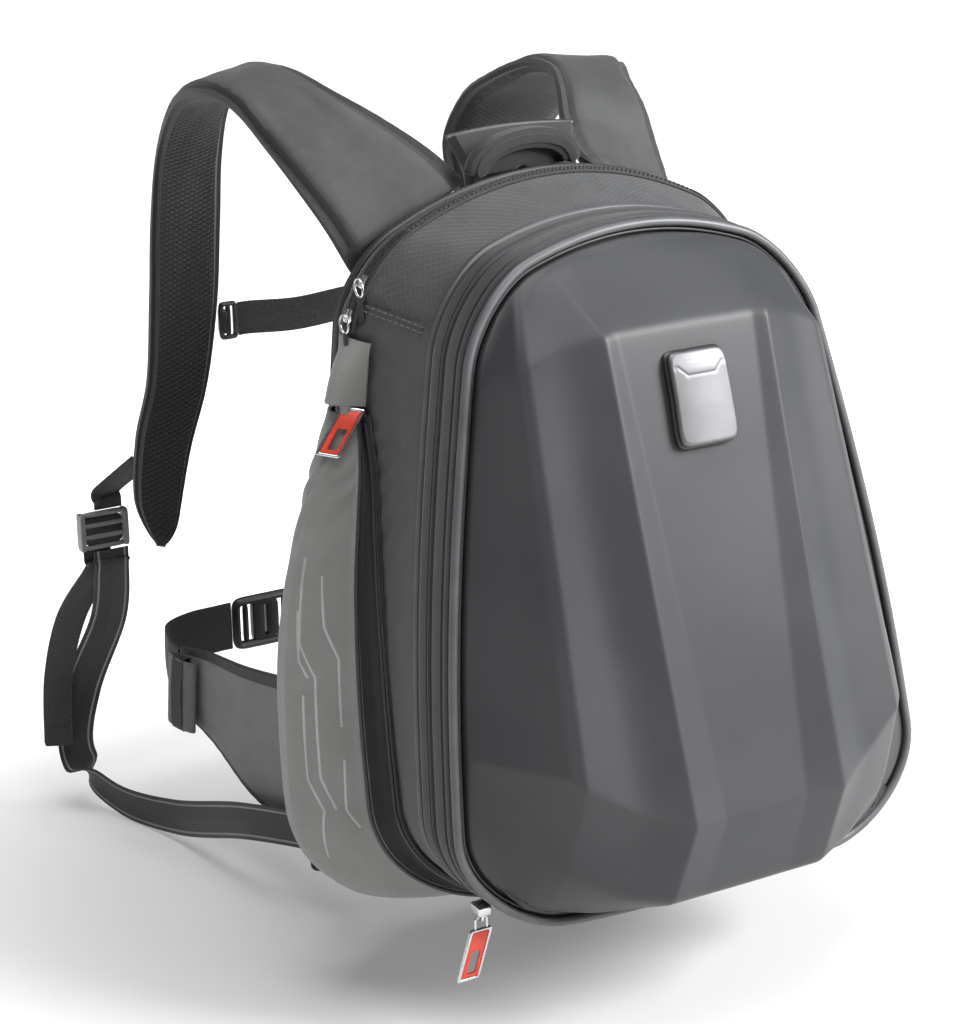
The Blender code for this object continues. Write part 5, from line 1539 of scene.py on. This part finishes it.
# Badge: dark base, and a bare rolled silver plate with one cut line

badgeForm = {"width": 0.046, "height": 0.062, "share": 0.77}


def makeBadge():
    form = badgeForm
    low, high = shellForm["rows"][2][0], shellForm["rows"][4][0]
    tall, bulge = rimSizes["height"], shellForm["bulge"]
    spot = lambda key: np.array((0, rimLean * key[1] * tall - key[2] * bulge, key[1] * tall))
    up = unit(spot(high) - spot(low))
    out = np.array((0, -up[2], up[1]))
    share = (form["share"] - low[1]) / (high[1] - low[1])
    centre = spot(low) + (spot(high) - spot(low)) * share
    across = np.array((1.0, 0, 0))

    def outlineAt(shrink):
        turns = np.linspace(0, 2 * pi, 72, endpoint=False)
        c, s = np.cos(turns), np.sin(turns)
        u = np.sign(c) * np.abs(c) ** 0.22 * (form["width"] / 2 - shrink)
        v = np.sign(s) * np.abs(s) ** 0.22 * (form["height"] / 2 - shrink)
        return np.stack([u * (1.0 - 0.03 * (v > 0)), v], 1)

    def lay(loop, depth):
        bow = 0.0022 * (1 - (loop[:, 0] / (form["width"] / 2)) ** 2)
        roll = -0.0060 * np.clip((loop[:, 1] - 0.016) / 0.015, 0, 1) ** 2 * 0.45
        height = np.broadcast_to(depth, (len(loop),)) + (bow + roll) * (depth > 0.002)
        return centre + loop[:, :1] * across + loop[:, 1:] * up + out * height[:, None]

    rows = [lay(outlineAt(0.0), 0.0004), lay(outlineAt(0.0), 0.0028), lay(outlineAt(0.0012), 0.0038)]
    gridPiece("badgeBase", np.array(rows), "buckle", "buckle_plastic", "badge_base", closedColumns=True,
              caps=True)
    rows = []
    for shrink, depth in ((0.0016, 0.0040), (0.0012, 0.0052), (0.0014, 0.0062), (0.0024, 0.0069)):
        rows.append(lay(outlineAt(shrink), depth))
    for inset in np.linspace(0.0032, 0.022, 34):
        loop = outlineAt(inset)
        edge = np.abs(loop[:, 1] - 0.0140 - 0.006 * np.clip((np.abs(loop[:, 0]) - 0.010) / 0.006, 0, 1))
        rows.append(lay(loop, 0.0070 - 0.0004 * np.exp(-(edge / 0.0007) ** 2)))
    gridPiece("badgePlate", np.array(rows), "badge", "badge_metal", "badge_plate", closedColumns=True,
              caps=True, smoothAngle=70)
    print("badge made")


makeBadge()


# Studio: pale floor, soft lights and the camera

# glow: painted light from the floor itself, low near the pack to darken the shadow there, full far away
studio = {"floor": (0.62, 0.62, 0.62), "glow": (0.20, 1.0), "glowReach": (0.26, 0.78), "world": 0.07,
          "cameraAt": (-0.9234, -1.5229, 0.57825), "azimuth": -29.9862, "elevation": 18.2485,
          "roll": -1.1367, "lens": 94.62}


def softbox(name, place, target, size, power, tint=(1, 1, 1)):
    light = bpy.data.lights.new(name, "AREA")
    light.shape, light.size, light.size_y = "RECTANGLE", *size
    light.energy, light.color = power, tint
    lamp = bpy.data.objects.new(name, light)
    lamp.location = place
    lamp.rotation_euler = (Vector(target) - Vector(place)).to_track_quat("-Z", "Y").to_euler()
    bpy.context.scene.collection.objects.link(lamp)


def makeStudio():
    scene = bpy.context.scene
    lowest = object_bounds()[0].z
    mesh = bpy.data.meshes.new("studioFloor")
    size, z = 70, lowest - 0.0008
    mesh.from_pydata([(-size, -size, z), (size, -size, z), (size, size, z), (-size, size, z)], [],
                     [(0, 1, 2, 3)])
    floor = bpy.data.objects.new("studioFloor", mesh)
    scene.collection.objects.link(floor)
    paper = Finish("floorPaper", studio["floor"], 0.9, fixed={"Specular IOR Level": 0.1})
    tones(paper, studio["floor"], tuple(v * 1.01 for v in studio["floor"]), 3)
    # The paper glows as a painted light, more away from the pack, so that it stays white beyond the lamps'
    # reach; its weaker glow near the pack paints the shadow under the pack darker
    x, y, _ = paper.position()
    away = paper.softStep((x * x + y * y).maths("SQRT"), *studio["glowReach"])
    near, far = ((value,) * 3 for value in studio["glow"])
    paper.set("Emission Color", paper.blendColours(away, near, far))
    paper.set("Emission Strength", 1.0)
    mesh.materials.append(paper.material)
    world = bpy.data.worlds.new("studioAir")
    world.use_nodes = True
    world.node_tree.nodes["Background"].inputs[0].default_value = (1, 1, 1, 1)
    world.node_tree.nodes["Background"].inputs[1].default_value = studio["world"]
    scene.world = world
    softbox("overhead", (-0.2, -0.2, 2.3), (0, -0.05, 0), (1.8, 1.6), 48)
    softbox("frontRight", (1.75, -1.85, 1.5), (0, 0, 0), (1.2, 1.2), 170)
    softbox("leftRim", (-2.2, 0.3, 1.0), (0, 0, 0), (0.4, 1.0), 2)
    camera = bpy.data.cameras.new("camera")
    camera.lens, camera.sensor_width, camera.sensor_fit = studio["lens"], 36, "AUTO"
    seen = bpy.data.objects.new("camera", camera)
    azimuth, elevation, roll = (radians(studio[key]) for key in ("azimuth", "elevation", "roll"))
    back = Vector((sin(azimuth) * cos(elevation), -cos(azimuth) * cos(elevation), sin(elevation)))
    right = (-back).cross(Vector((0, 0, 1))).normalized()
    upward = right.cross(-back)
    turnedRight = right * cos(roll) + upward * sin(roll)
    turnedUp = upward * cos(roll) - right * sin(roll)
    facing = Matrix((turnedRight, turnedUp, back)).transposed().to_4x4()
    seen.matrix_world = Matrix.Translation(studio["cameraAt"]) @ facing
    scene.collection.objects.link(seen)
    scene.camera = seen
    scene.view_settings.view_transform = "Standard"
    print("studio made")


makeStudio()

left = [name for name, node in frame["nodes"].items() if not node.hide_render]
print("packed nodes still shown:", left)
